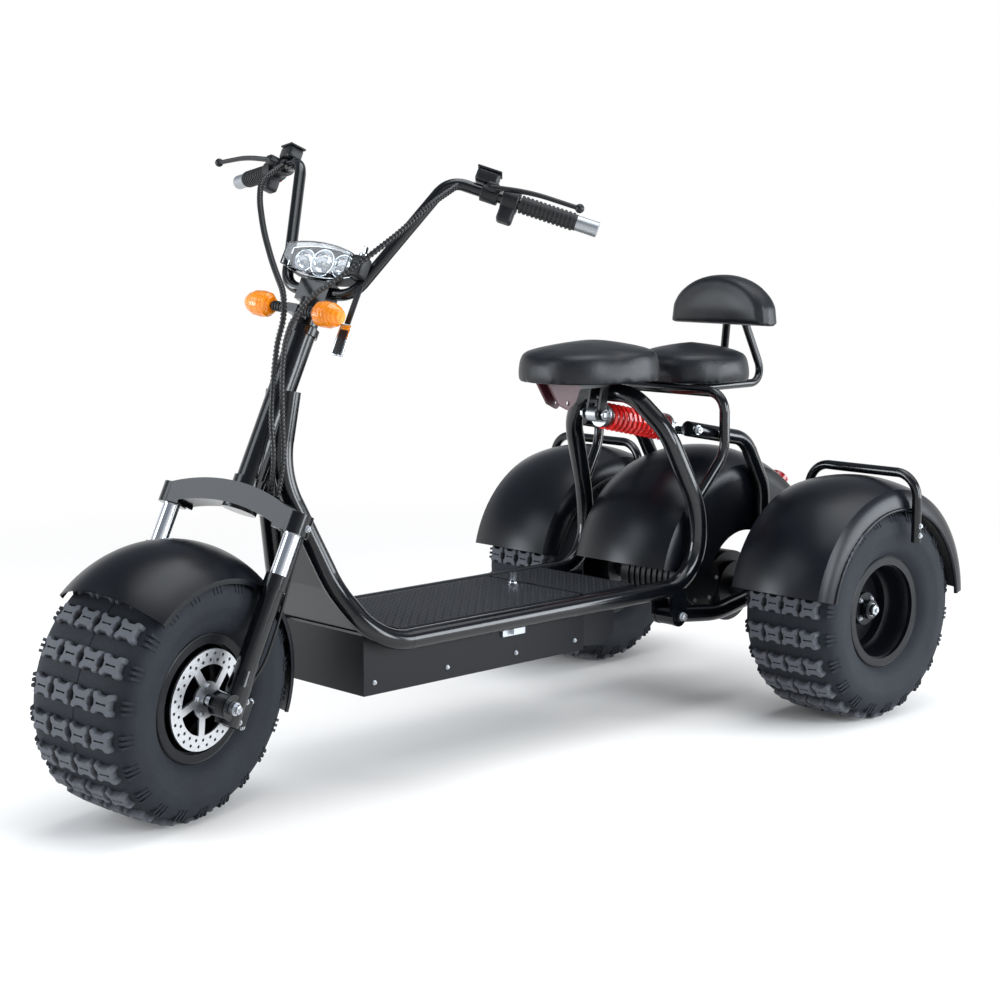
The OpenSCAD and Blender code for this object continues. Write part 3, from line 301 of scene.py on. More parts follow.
# A wave's period is pi / 10 over its scale; the moulded rings are 6 mm apart
ribs = put(tree, "ShaderNodeTexWave", {"Vector": spot, "Scale": mm(6) * math.pi / 10}, bands_direction="X")
# Patches of painted glow: the orange is lighter where they meet a ring
depth = put(tree, "ShaderNodeTexNoise", {"Vector": spot, "Scale": mm(30), "Detail": 1.0})
# Painted glints: the rings times the patches of painted glow, which lighten the orange
painted_glints = put(tree, "ShaderNodeMath", {0: ribs.outputs["Fac"], 1: depth.outputs["Fac"]}, operation="MULTIPLY")
tone = put(tree, "ShaderNodeMix", {
    0: painted_glints.outputs[0], 6: linear("#ff8a0a"), 7: linear("#ffb62e")}, data_type="RGBA")
bump = put(tree, "ShaderNodeBump", {"Height": ribs.outputs["Fac"], "Strength": 0.35, "Distance": 0.001})
wire(shader, {"Base Color": tone.outputs[2], "Normal": bump.outputs["Normal"]})

# Red acrylic, moulded in cells: a painted glow in the middle of each cell and a painted shade round it
red_lens, tree, shader, spot = finish(
    "red_acrylic", "#a5131a", 0.14, IOR=1.45, Transmission_Weight=0.2, Coat_Weight=0.4)
cells = put(tree, "ShaderNodeTexVoronoi", {"Vector": spot, "Scale": mm(10)})
# Painted glow at the middle of each cell, painted shade at its rim
tone = put(tree, "ShaderNodeMix", {
    0: cells.outputs["Distance"], 6: linear("#c01a20"), 7: linear("#7c0c12")}, data_type="RGBA")
wire(shader, {"Base Color": tone.outputs[2]})

# Frosted glass: pale, with a skin that scatters the light. The frost is drawn at 3 mm to show
bulb_glass, tree, shader, spot = finish(
    "frosted_bulb_glass", "#fbfbf6", 0.3, IOR=1.45, Transmission_Weight=0.3)
frost = put(tree, "ShaderNodeTexNoise", {"Vector": spot, "Scale": mm(3), "Detail": 3.0})
rough = put(tree, "ShaderNodeMapRange", {"Value": frost.outputs["Fac"], "To Min": 0.2, "To Max": 0.45})
wire(shader, {"Roughness": rough.outputs["Result"]})
print("lamp glass:", clear_lens.name, amber_lens.name, red_lens.name, bulb_glass.name)

# %% [markdown]
# ### Which solid wears which finish
# The record already groups the solids into slots, so one short table is enough. The plugs in the ends
# of the bar are the one exception: they are bare alloy, not the chrome of their slot.

# %% Dress the solids
slot_finish = {
    "frame_paint": powder_coat, "box_paint": satin_coat, "rim_paint": satin_coat, "moulding": abs_skin,
    "vinyl": vinyl_hide, "mat": mat_rubber, "grip": soft_rubber, "tyre": tread_rubber, "disc": ground_steel,
    "chrome": chrome_plate, "zinc": zinc_plate, "castings": casting, "motor": casting, "damper": bare_alloy,
    "spring": spring_coat, "bracket": oxide_coat, "case": case_plastic, "pack": case_plastic,
    "clear": clear_lens, "amber": amber_lens, "red_lens": red_lens, "wrap": spiral_wrap}
for name, solid in nodes.items():
    solid.data.materials.clear()
    solid.data.materials.append(slot_finish[slot_of[name]])
nodes["bar_ends"].data.materials[0] = bare_alloy
print("dressed", len(nodes), "solids")

# %% [markdown]
# ## Pieces made here
# Each new piece is one mesh at the origin, with its place in its points. It rides on the body that
# carries it, and it wears the finish that it is given. Many shapes are rings of points skinned with
# bands of quads. A Geometry Nodes tree is opened with its named inputs and closed with its finish.


# %% Helpers for pieces
def piece(name, mesh, body, slot, material, crease=35):
    mesh.materials.clear()
    mesh.materials.append(material)
    mesh.polygons.foreach_set("use_smooth", [True] * len(mesh.polygons))
    mesh.set_sharp_from_angle(angle=math.radians(crease))
    made = shown(name, mesh)
    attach(made, body)
    return made


def mesh_of(name, points, faces):
    made = bpy.data.meshes.new(name)
    made.from_pydata([tuple(p) for p in points], [], faces)
    clean = bmesh.new()
    clean.from_mesh(made)
    bmesh.ops.remove_doubles(clean, verts=clean.verts, dist=1e-6)
    bmesh.ops.recalc_face_normals(clean, faces=clean.faces)
    clean.to_mesh(made)
    clean.free()
    return made


def evaluated(carrier):
    graph = bpy.context.evaluated_depsgraph_get()
    made = bpy.data.meshes.new_from_object(carrier.evaluated_get(graph))
    bpy.data.objects.remove(carrier)
    return made


def grown(tree, mesh, values):
    carrier = shown("carrier", mesh)
    maker = carrier.modifiers.new("maker", "NODES")
    maker.node_group = tree
    for socket, value in values:
        maker[socket.identifier] = value
    return evaluated(carrier)


def bands(first, rings, n):
    starts = [first + level * n for level in range(rings - 1)]
    corners = [(start + k, start + (k + 1) % n) for start in starts for k in range(n)]
    return [(a, b, b + n, a + n) for a, b in corners]


def ringed(name, points, n):
    caps = [tuple(reversed(range(n))), tuple(range(len(points) - n, len(points)))]
    return mesh_of(name, points, bands(0, len(points) // n, n) + caps)


def box_of(node):
    return [Vector(corner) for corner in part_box(node)]


def new_tree(name, inputs, output):
    tree = bpy.data.node_groups.new(name, "GeometryNodeTree")
    sockets = [tree.interface.new_socket(label, in_out="INPUT", socket_type="NodeSocket" + kind)
               for label, kind in inputs]
    tree.interface.new_socket(output, in_out="OUTPUT", socket_type="NodeSocketGeometry")
    return tree, put(tree, "NodeGroupInput"), sockets


def close_tree(tree, given, geometry):
    real = put(tree, "GeometryNodeRealizeInstances", {"Geometry": geometry})
    painted = put(tree, "GeometryNodeSetMaterial", {
        "Geometry": real.outputs[0], "Material": given.outputs["Finish"]})
    put(tree, "NodeGroupOutput", {0: painted.outputs[0]})
    print("tree:", tree.name, "with", len(tree.nodes), "nodes")


def wheel_place(joint):
    along = Vector(joints[joint]["axis"]).normalized()
    level = Vector((0, 0, 1)).cross(along).normalized()
    turn = Matrix((along, level, along.cross(level))).transposed().to_4x4()
    return Matrix.Translation(joints[joint]["pos_m"]) @ turn


print("helpers: piece, mesh_of, evaluated, grown, bands, ringed, box_of, new_tree, close_tree, wheel_place")

# %% [markdown]
# ## Balloon tyres
# A tyre is a smooth carcass with one row of knobs repeated round it. The carcass is a profile spun
# about the axle. The row is modelled once and a Geometry Nodes tree sets it round the wheel, so the
# number of rows stays one value. The tread of the real tyre has waisted knobs, four to a row.

# %% One row of knobs
ROWS = 22
CARCASS = 216.5  # radius in the middle of the tread, in millimetres like the sizes below
# The carcass from the bead to the crown: distance from the middle, and radius
PROFILE = [(88, 101.8), (90, 118), (93, 121), (101, 127), (108, 141), (112.5, 160), (113.4, 162), (114, 172),
           (112.5, 187), (108, 199), (99, 208), (84, 213), (60, 215.4), (30, 216.3), (1.6, CARCASS),
           (0, 217.6)]
# Knobs across the tread: middle, half width, half length and height
BLOCKS = [(middle, 19.4, 17.6, 11.2) for middle in (-66.5, -22.2, 22.2, 66.5)]
# A quarter of a knob's outline: its four ears are cut off square and its waist is drawn in
QUARTER = [(0.78, 0.0), (0.80, 0.32), (0.98, 0.54), (1.0, 0.86), (0.84, 1.0), (0.60, 0.98), (0.40, 0.74),
           (0.0, 0.70)]
ROOT, FLARE = -3, 1.14  # a knob starts below the carcass, and is wider there
BEVEL, TOP_SHARE = 1.2, 0.93  # how far the edge is broken, and the top's share of the size
SLIT_W, SLIT_L, SLIT_DEEP = 0.62, 0.10, 4.0  # the slit across a knob: shares of its size, and millimetres
OUTLINE = QUARTER[:-1] + [(-x, y) for x, y in reversed(QUARTER)]
OUTLINE = OUTLINE[:-1] + [(-x, -y) for x, y in OUTLINE[:-1]]


def carcass_r(across):
    across = abs(across)
    for (w0, r0), (w1, r1) in zip(PROFILE[7:-1], PROFILE[8:]):
        if w1 <= across <= w0:
            return r0 + (r1 - r0) * (w0 - across) / (w0 - w1)
    return PROFILE[-1][1]


def on_tread(across, along, height):
    radius = (carcass_r(across) + height) / 1000
    angle = along / CARCASS
    return (across / 1000, radius * math.sin(angle), radius * math.cos(angle))


points, faces = [], []
n = len(OUTLINE)
for middle, half_w, half_l, height in BLOCKS:
    first = len(points)
    rings = [(ROOT, FLARE, FLARE), (height - BEVEL, 1.0, 1.0), (height, TOP_SHARE, TOP_SHARE),
             (height, SLIT_W, SLIT_L), (height - SLIT_DEEP, SLIT_W, SLIT_L)]
    for lift, wide, long in rings:
        for across, along in OUTLINE:
            points.append(on_tread(middle + across * half_w * wide, along * half_l * long, lift))
    faces += bands(first, len(rings), n)
    points.append(on_tread(middle, 0, height - SLIT_DEEP))
    last = first + (len(rings) - 1) * n
    faces += [(last + k, last + (k + 1) % n, len(points) - 1) for k in range(n)]
RIB_ENDS = [(211, 100, 4.2), (190, 111.5, 1.5)]  # radius, distance from the middle, height
RIB_HALF, RIB_ROOT = 2.6, -4  # half width, and how far inside the carcass a rib starts
for side in (-1, 1):  # three ribs down the shoulder below each row
    for along in (-10, 0, 10):
        f = len(points)
        for radius, out, height in RIB_ENDS:
            for lift in (RIB_ROOT, height):
                for edge in (-RIB_HALF, RIB_HALF):
                    angle = (along + edge) / CARCASS
                    r = radius / 1000
                    points.append((side * (out + lift) / 1000, r * math.sin(angle), r * math.cos(angle)))
        faces += [(f, f + 1, f + 3, f + 2), (f + 4, f + 5, f + 7, f + 6), (f, f + 1, f + 5, f + 4),
                  (f + 2, f + 3, f + 7, f + 6), (f, f + 2, f + 6, f + 4), (f + 1, f + 3, f + 7, f + 5)]
row_mesh = mesh_of("tread_row", points, faces)
row_mesh.attributes.new("worn", "FLOAT", "POINT")
WORN_FROM = 9.9  # height above the carcass from which the rubber is scuffed
tops = [v.co.yz.length > (carcass_r(v.co.x * 1000) + WORN_FROM) / 1000 for v in row_mesh.vertices]
row_mesh.attributes["worn"].data.foreach_set("value", [float(top) for top in tops])
print("one row of tread:", len(row_mesh.polygons), "faces")

# %% Tree that sets the row round the wheel
ring, given, (_, count_in, finish_in) = new_tree(
    "row_round_wheel", [("Row", "Geometry"), ("Rows", "Int"), ("Finish", "Material")], "Tread")
spots = put(ring, "GeometryNodePoints", {"Count": given.outputs["Rows"]})
which = put(ring, "GeometryNodeInputIndex")
share = put(ring, "ShaderNodeMath", {0: which.outputs[0], 1: given.outputs["Rows"]}, operation="DIVIDE")
angle = put(ring, "ShaderNodeMath", {0: share.outputs[0], 1: 2 * math.pi}, operation="MULTIPLY")
spin = put(ring, "ShaderNodeCombineXYZ", {"X": angle.outputs[0]})
rows = put(ring, "GeometryNodeInstanceOnPoints", {
    "Points": spots.outputs[0], "Instance": given.outputs["Row"], "Rotation": spin.outputs[0]})
close_tree(ring, given, rows.outputs[0])

# %% Carcass and three tyres
STEPS = 88  # stations round the carcass, four to a row of knobs
WHEELS = [  # joint, tyre, body, and how far from the middle the throat ends on each open side
    ("front_wheel_spin", "front_tyre", "front_wheel", {1: -12, -1: 21}),
    ("rear_left_spin", "rear_tyre_left", "rear_wheel_left", {1: 16}),
    ("rear_right_spin", "rear_tyre_right", "rear_wheel_right", {-1: 16})]
section = PROFILE + [(-w, r) for w, r in reversed(PROFILE[:-1])]
points, faces = [], []
for i in range(STEPS):
    angle = 2 * math.pi * i / STEPS
    for w, r in section:
        points.append((w / 1000, r / 1000 * math.sin(angle), r / 1000 * math.cos(angle)))
n = len(section)
for i in range(STEPS):
    for j in range(n):
        a, b = i * n + j, i * n + (j + 1) % n
        c, d = (i + 1) % STEPS * n + (j + 1) % n, (i + 1) % STEPS * n + j
        faces.append((a, b, c, d))
carcass = mesh_of("carcass", points, faces)
for joint, tyre, body, throats in WHEELS:
    whole = bmesh.new()
    whole.from_mesh(grown(ring, row_mesh.copy(), [(count_in, ROWS), (finish_in, tread_rubber)]))
    whole.from_mesh(carcass)
    mesh = bpy.data.meshes.new(tyre + "_tread")
    whole.to_mesh(mesh)
    whole.free()
    mesh.transform(wheel_place(joint))
    made = piece(tyre + "_tread", mesh, body, "tyre", tread_rubber, crease=32)
    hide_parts(tyre)
print("tyres:", ROWS, "rows each,", len(mesh.polygons), "faces")

# %% [markdown]
# ## Saddles and backrest
# A saddle is foam on a board, covered in vinyl. Its outline is a rounded egg, the sides stand almost
# straight, and the top is crowned and lower at the nose. The rough form is built from rings, then a
# short cloth simulation blows it up a little so that the cover looks stuffed rather than turned.


# %% Pad builder
def egg(angle, half_l, half_w, power, taper):
    c, s = math.cos(angle), math.sin(angle)
    x = half_w * math.copysign(abs(c) ** (2 / power), c)
    y = half_l * math.copysign(abs(s) ** (2 / power), s)
    return x * (1 + taper * y / half_l), y


def pad_mesh(name, levels, half_l, half_w, power, taper, crown):
    points, around = [], 48
    for height, inset in levels:
        for k in range(around):
            x, y = egg(2 * math.pi * k / around, half_l - inset, half_w - inset, power, taper)
            points.append((x, y, crown(y, height)))
    return ringed(name, points, around)


FRAMES, PRESSURE = 20, 4.0  # length of the simulation, and how hard the foam pushes
EVENINGS = 10  # rounds in which each point takes up the mean move of its neighbours
SEAT = 0.004  # metres of the bottom that stay flat on the board


def stuffed(mesh, voxel, cap):
    start = shown("pad", mesh)
    remesh = start.modifiers.new("even", "REMESH")
    remesh.mode, remesh.voxel_size = "VOXEL", voxel
    mesh = evaluated(start)
    before = [v.co.copy() for v in mesh.vertices]
    blown = shown("pad", mesh)
    cloth = blown.modifiers.new("foam", "CLOTH")
    cloth.settings.use_pressure = True
    cloth.settings.uniform_pressure_force = PRESSURE
    cloth.settings.effector_weights.gravity = 0.0
    cloth.point_cache.frame_start, cloth.point_cache.frame_end = 1, FRAMES
    for step in range(1, FRAMES + 1):
        bpy.context.scene.frame_set(step)
    mesh = evaluated(blown)
    bpy.context.scene.frame_set(1)
    moves = [v.co - p for v, p in zip(mesh.vertices, before)]
    moves = [move * min(1.0, cap / max(move.length, 1e-9)) for move in moves]
    beside = [[] for v in mesh.vertices]
    for edge in mesh.edges:
        a, b = edge.vertices
        beside[a].append(b)
        beside[b].append(a)
    for turn in range(EVENINGS):  # foam fills the wrinkles that the bare cloth would keep
        moves = [(move + sum((moves[j] for j in near), Vector())) / (len(near) + 1)
                 for move, near in zip(moves, beside)]
    floor = min(p.z for p in before)
    for v, p, move in zip(mesh.vertices, before, moves):
        if p.z < floor + SEAT:
            move.z = 0.0
        v.co = p + move
    return mesh


def cushion(name, mesh, node):
    made = piece(name, mesh, body_of[node], "vinyl", vinyl_hide, crease=180)
    smooth = made.modifiers.new("smooth", "SUBSURF")
    smooth.levels = smooth.render_levels = 1
    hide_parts(node)
    return made


print("pad helpers ready")

# %% Saddles
# Share of the thickness and inset: a straight side band, a soft crease, then the crown
LEVELS = [(0.0, 0.002), (0.04, 0.0), (0.25, 0.001), (0.48, 0.004), (0.64, 0.008), (0.72, 0.014),
          (0.78, 0.026), (0.85, 0.048), (0.92, 0.075), (0.97, 0.100), (1.0, 0.125)]
ROOM, ROOM_ABOVE = 0.003, 0.001  # metres left inside the solid's box for the foam to push into
FLARE_ROOM = 0.04  # metres that the half width gives up to the taper, for a taper of 1
DIP_ABOVE, DIP_BEHIND = 0.4, 0.1  # the dip starts at these shares of the height and behind the middle
ROUND = 2.5  # power of the outline: 2 is an ellipse
SADDLES = [  # piece, node, taper towards the nose, how much lower the top is at the front
    ("driver_cushion", "driver_saddle", 0.10, 0.34), ("passenger_cushion", "passenger_saddle", 0.04, 0.12)]
for name, node, taper, dip in SADDLES:
    low, high = box_of(node)
    size, middle = high - low, (high + low) / 2
    half_l, half_w = size.y / 2 - ROOM, size.x / 2 - ROOM - taper * FLARE_ROOM

    def crown(y, share):
        sinks = dip * max(share - DIP_ABOVE, 0) * max(DIP_BEHIND - y / size.y, 0)
        return (size.z - ROOM_ABOVE) * share * (1 - sinks)

    mesh = pad_mesh(name, LEVELS, half_l, half_w, ROUND, taper, crown)
    mesh.transform(Matrix.Translation((middle.x, middle.y, low.z)))
    made = cushion(name, stuffed(mesh, voxel=0.006, cap=0.005), node)
    print(name, len(made.data.polygons), "faces")

# %% Backrest
low, high = box_of("backrest_pad")
size, middle = high - low, (high + low) / 2
FOOT = 0.13  # share of the height at which the arch starts
bow = [math.pi * k / 24 for k in range(2, 23)]
arch = [(-1.0, 0.0), (-0.985, FOOT)] + [(-math.cos(a), FOOT + (1 - FOOT) * math.sin(a)) for a in bow]
arch += [(0.985, FOOT), (1.0, 0.0)] + [(x, 0.0) for x in (0.66, 0.33, 0.0, -0.33, -0.66)]
# From front to back: share of the depth, and size of the outline there
THICK = [(-0.5, 0.86), (-0.36, 0.96), (-0.12, 1.0), (0.2, 1.0), (0.42, 0.95), (0.5, 0.86)]
CENTRE = 0.42  # share of the height about which the outline shrinks
points = []
for depth, scale in THICK:
    for x, z in arch:
        points.append((x * scale * size.x / 2, depth * size.y, (CENTRE + (z - CENTRE) * scale) * size.z))
mesh = ringed("backrest_cushion", points, len(arch))
mesh.transform(Matrix.Translation((middle.x, middle.y, low.z)))
made = cushion("backrest_cushion", stuffed(mesh, voxel=0.005, cap=0.006), "backrest_pad")
print("backrest:", len(made.data.polygons), "faces")

# %% [markdown]
# ## Where things are
# The frame gives every place that the trim needs. The rear axle fixes the chassis, and the steering
# axis together with the front axle fixes the fork, so a place is written in millimetres from either.


# %% Places on the chassis and on the fork
rear_axle = Vector(joints["rear_left_spin"]["pos_m"])
up_column = Vector(joints["steering_turn"]["axis"]).normalized()
to_left = Vector(joints["front_wheel_spin"]["axis"]).normalized()
fork_turn = Matrix((to_left, up_column.cross(to_left), up_column)).transposed().to_4x4()
fork_place = Matrix.Translation(joints["steering_turn"]["pos_m"]) @ fork_turn
FORWARD = Matrix.Rotation(math.pi / 2, 4, "X")  # turns a lathe's axis to face ahead
SIDEWAYS = Matrix.Rotation(math.pi / 2, 4, "Y")  # turns it to face left


def on_chassis(x, y, z):
    return Vector((x / 1000, y / 1000 + rear_axle.y, z / 1000))


def on_fork(x, y, z):
    return fork_place @ Vector((x / 1000, y / 1000, z / 1000))


def fork_at(x, y, z):
    return fork_place @ Matrix.Translation((x / 1000, y / 1000, z / 1000))


lean = math.degrees(up_column.angle((0, 0, 1)))
print("rear axle at", [round(c, 4) for c in rear_axle], "column leans", round(lean, 1))


# %% Lathe, bevelled block and joining
def spun(profile, place, around=32, closed=False):
    points, faces, n = [], [], len(profile)
    for k in range(around):
        angle = 2 * math.pi * k / around
        for r, h in profile:
            points.append(place @ (Vector((r * math.cos(angle), r * math.sin(angle), h)) / 1000))
        for j in range(n if closed else n - 1):
            after, beside = (k + 1) % around * n, (j + 1) % n
            faces.append((k * n + j, k * n + beside, after + beside, after + j))
    return mesh_of("spun", points, faces)


def block(size, place, bevel=2.0):
    shape = bmesh.new()
    bmesh.ops.create_cube(shape, size=0.001)
    bmesh.ops.scale(shape, vec=size, verts=shape.verts)
    bmesh.ops.bevel(shape, geom=shape.edges[:], offset=bevel / 1000, segments=3, profile=0.5, affect="EDGES")
    shape.transform(place)
    bmesh.ops.recalc_face_normals(shape, faces=shape.faces)
    made = bpy.data.meshes.new("block")
    shape.to_mesh(made)
    shape.free()
    return made


def joined(name, meshes):
    whole = bmesh.new()
    for part in meshes:
        whole.from_mesh(part)
    made = bpy.data.meshes.new(name)
    whole.to_mesh(made)
    whole.free()
    return made


def on_steering(name, meshes, slot, material):
    return piece(name, joined(name, meshes), "steering", slot, material)


print("helpers: spun, block, joined, on_steering")

# %% [markdown]
# ## Cable looms and brake hose
# The brake hoses and wires from the controls are bundled in spiral wrap, a plastic strip wound round
# them, and hang in front of the column before they go in behind the fork crown. A Geometry Nodes tree
# follows the route: it sweeps the bundle and sets one leaning turn of strip at every step along it.


# %% Routes of the looms and the hose
ROUTES = {  # corners in millimetres in the fork's own axes, from the controls down
    "left_loom": [(193, 34, 1006.6), (190, -18, 947), (177, -56, 875), (155, -86, 815), (117, -96, 763),
                  (66, -97, 716), (46, -95, 668), (42, -89, 629), (46, -70, 573), (60, -40, 496),
                  (70, -14, 436), (73, -2, 374.5)],
    "right_loom": [(-220.7, 47.5, 1007.8), (-213, -4, 955), (-186, -18, 908), (-126, -48, 841),
                   (-53, -78, 771), (8, -95, 716), (26, -93, 668), (25, -88, 629), (29, -72, 573),
                   (46, -58, 496), (62, -34, 436), (57, -4, 378.8)],
    "brake_hose": [(139.5, 17, 328), (138, 24, 250), (136, 38, 160), (126, 52, 90), (110, 47, 35.5)]}


def eased(corners, share=0.42, steps=4):
    line = [corners[0]]
    for before, here, after in zip(corners, corners[1:], corners[2:]):
        reach = share * min((here - before).length, (after - here).length)
        a = here + (before - here).normalized() * reach
        b = here + (after - here).normalized() * reach
        for k in range(steps + 1):
            t = k / steps
            line.append((1 - t) ** 2 * a + 2 * t * (1 - t) * here + t * t * b)
    return line + [corners[-1]]


def line_mesh(name, points):
    made = bpy.data.meshes.new(name)
    made.from_pydata([tuple(p) for p in points], [(k, k + 1) for k in range(len(points) - 1)], [])
    return made


print("routes:", list(ROUTES))

# %% Tree that wraps a route
wrap, given, (_, core_in, step_in, strip_in, finish_in) = new_tree("wrapped_route", [
    ("Route", "Geometry"), ("Bundle radius", "Float"), ("Turn spacing", "Float"), ("Strip radius", "Float"),
    ("Finish", "Material")], "Loom")
SLANT = math.radians(18)  # a turn of strip isn't square to the bundle
line = put(wrap, "GeometryNodeMeshToCurve", {"Mesh": given.outputs["Route"]})
girth = put(wrap, "GeometryNodeCurvePrimitiveCircle", {
    "Resolution": 14, "Radius": given.outputs["Bundle radius"]})
bundle = put(wrap, "GeometryNodeCurveToMesh", {
    "Curve": line.outputs[0], "Profile Curve": girth.outputs[0], "Fill Caps": True})
edge = put(wrap, "GeometryNodeCurvePrimitiveCircle", {
    "Resolution": 6, "Radius": given.outputs["Strip radius"]})
hoop = put(wrap, "GeometryNodeCurveToMesh", {"Curve": girth.outputs[0], "Profile Curve": edge.outputs[0]})
lean = put(wrap, "GeometryNodeTransform", {"Geometry": hoop.outputs[0], "Rotation": (SLANT, 0, 0)})
steps = put(wrap, "GeometryNodeCurveToPoints", {
    "Curve": line.outputs[0], "Length": given.outputs["Turn spacing"]}, mode="LENGTH")
turns = put(wrap, "GeometryNodeInstanceOnPoints", {
    "Points": steps.outputs["Points"], "Instance": lean.outputs[0], "Rotation": steps.outputs["Rotation"]})
both = put(wrap, "GeometryNodeJoinGeometry", {"Geometry": bundle.outputs[0]})
wrap.links.new(turns.outputs[0], both.inputs["Geometry"])
close_tree(wrap, given, both.outputs[0])

# %% Wind the looms
LOOM, HOSE = (0.012, 0.0016), (0.006, 0.0003)  # width over the wrap and radius of the strip, in metres
TURN = 0.0074  # metres from one turn to the next
for name, corners in ROUTES.items():
    thick, strip = HOSE if name == "brake_hose" else LOOM
    route = eased([on_fork(*corner) for corner in corners])
    mesh = grown(wrap, line_mesh(name, route), [
        (core_in, thick / 2 - strip), (step_in, TURN), (strip_in, strip), (finish_in, spiral_wrap)])
    made = piece(name, mesh, "steering", "wrap", spiral_wrap, crease=50)
    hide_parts("cables")
    reach = sum((b - a).length for a, b in zip(route, route[1:]))
    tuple(route[0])
    print(name, "length", round(reach, 3), "m,", len(mesh.polygons), "faces")

# %% [markdown]
# ## Bolts and nuts
# Every joint of the real machine shows a plated bolt on a washer. One tree makes a hexagon head with a
# washer, a chamfer and a bolt end, and sets it on loose points. Each point says where its bolt looks
# ("aim") and how wide its washer is ("size"), so one list holds them all, body by body.

# %% Tree that sets bolts on points
bolts, given, (_, head_in, finish_in) = new_tree(
    "bolts_on_points", [("Places", "Geometry"), ("Head height", "Float"), ("Finish", "Material")], "Bolts")
washer = put(bolts, "GeometryNodeMeshCylinder", {"Vertices": 20, "Radius": 1.0, "Depth": 0.24})
hexagon = put(bolts, "GeometryNodeMeshCylinder", {
    "Vertices": 6, "Radius": 0.8, "Depth": given.outputs["Head height"]})
lift = put(bolts, "ShaderNodeMath", {0: given.outputs["Head height"], 1: 0.5}, operation="MULTIPLY")
raise_by = put(bolts, "ShaderNodeCombineXYZ", {"Z": lift.outputs[0]})
head = put(bolts, "GeometryNodeTransform", {
    "Geometry": hexagon.outputs["Mesh"], "Translation": raise_by.outputs[0]})
chamfer = put(bolts, "GeometryNodeMeshCone", {
    "Vertices": 6, "Radius Top": 0.62, "Radius Bottom": 0.8, "Depth": 0.1})
top = put(bolts, "ShaderNodeCombineXYZ", {"Z": given.outputs["Head height"]})
cap = put(bolts, "GeometryNodeTransform", {
    "Geometry": chamfer.outputs["Mesh"], "Translation": top.outputs[0]})
shank = put(bolts, "GeometryNodeMeshCone", {
    "Vertices": 12, "Radius Top": 0.3, "Radius Bottom": 0.38, "Depth": 0.34})
end = put(bolts, "GeometryNodeTransform", {"Geometry": shank.outputs["Mesh"], "Translation": top.outputs[0]})
whole = put(bolts, "GeometryNodeJoinGeometry", {"Geometry": washer.outputs["Mesh"]})
for part in (head, cap, end):
    bolts.links.new(part.outputs[0], whole.inputs["Geometry"])
aim = put(bolts, "GeometryNodeInputNamedAttribute", {"Name": "aim"}, data_type="FLOAT_VECTOR")
size = put(bolts, "GeometryNodeInputNamedAttribute", {"Name": "size"}, data_type="FLOAT")
facing = put(bolts, "FunctionNodeAlignRotationToVector", {"Vector": aim.outputs[0]}, axis="Z")
all_bolts = put(bolts, "GeometryNodeInstanceOnPoints", {
    "Points": given.outputs["Places"], "Instance": whole.outputs[0], "Rotation": facing.outputs[0],
    "Scale": size.outputs[0]})
close_tree(bolts, given, all_bolts.outputs[0])

# %% Where the bolts are
LEFT = Vector((1, 0, 0))
spots = {body: [] for body in ("chassis", "steering", "front_wheel", "rear_wheel_left", "rear_wheel_right")}
motor_low, motor_high = box_of("drive_motor")
motor_mid = (motor_low + motor_high) / 2
rail_x = box_of("fender_brackets")[1].x * 1000 - 0.6
axle_z = rear_axle.z * 1000
MOTOR_RING, DISC_RING = 0.047, 0.026  # radii of the bolt circles, in metres
HUB_RING = 25.5  # and in millimetres, like the places on the chassis
for side in (1, -1):  # each row has a place, where the bolt looks, and its washer's radius in millimetres
    out = LEFT * side
    spots["chassis"] += [
        (on_chassis(187 * side, -300, 217), out, 10), (on_chassis(171.5 * side, -234, 449), out, 7),
        (on_chassis(165.6 * side, -234, 598), out, 10), (on_chassis(28.6 * side, -368, 629), out, 11),
        (on_chassis(444.5 * side, 0, axle_z), out, 14),
        (on_chassis(rail_x * side, 40, 388), out, 5.5), (on_chassis(rail_x * side, 40, 408), out, 5.5)]
    spots["chassis"] += [(on_chassis(125 * side, y, 196), out, 4.5) for y in (-1080, -900, -720, -556)]
    spots["chassis"] += [(on_chassis(27 * side, 76, z), Vector((0, 1, 0)), 5.5) for z in (832, 866)]
    outward = to_left * side
    spots["steering"] += [
        (on_fork(165 * side, -12.5, 331), outward, 6.5), (on_fork(165.2 * side, -34, 0), outward, 10.5),
        (on_fork(25 * side, -8, 775.6), up_column, 5), (on_fork(25 * side, 16, 775.6), up_column, 5)]
for z in (-23, 23):
    spots["steering"] += [(on_fork(119.6, y, z), to_left, 6) for y in (20, 58)]
    spots["steering"].append((on_fork(147.2, 8, z * 0.8), to_left, 6.5))
for k in range(6):
    angle = 2 * math.pi * k / 6
    spots["chassis"].append((Vector((motor_high.x - 0.0003, motor_mid.y + MOTOR_RING * math.cos(angle),
                                     motor_mid.z + MOTOR_RING * math.sin(angle))), LEFT, 4.5))
front_place = wheel_place("front_wheel_spin")
for k in range(5):
    angle = 2 * math.pi * (k + 0.3) / 5
    at = front_place @ Vector((0.0998, DISC_RING * math.cos(angle), DISC_RING * math.sin(angle)))
    spots["front_wheel"].append((at, to_left, 5))
for body, side in (("rear_wheel_left", 1), ("rear_wheel_right", -1)):
    for k in range(4):
        angle = 2 * math.pi * (k + 0.5) / 4
        at = on_chassis(428.8 * side, HUB_RING * math.cos(angle), axle_z + HUB_RING * math.sin(angle))
        spots[body].append((at, LEFT * side, 5.5))
print("bolts:", {body: len(listed) for body, listed in spots.items()})


# %% Set the bolts
def bolt_points(name, listed):
    made = bpy.data.meshes.new(name)
    made.from_pydata([tuple(at) for at, looks, wide in listed], [], [])
    made.attributes.new("aim", "FLOAT_VECTOR", "POINT")
    made.attributes.new("size", "FLOAT", "POINT")
    made.attributes["aim"].data.foreach_set("vector", [c for at, looks, wide in listed for c in looks])
    made.attributes["size"].data.foreach_set("value", [wide / 1000 for at, looks, wide in listed])
    return made


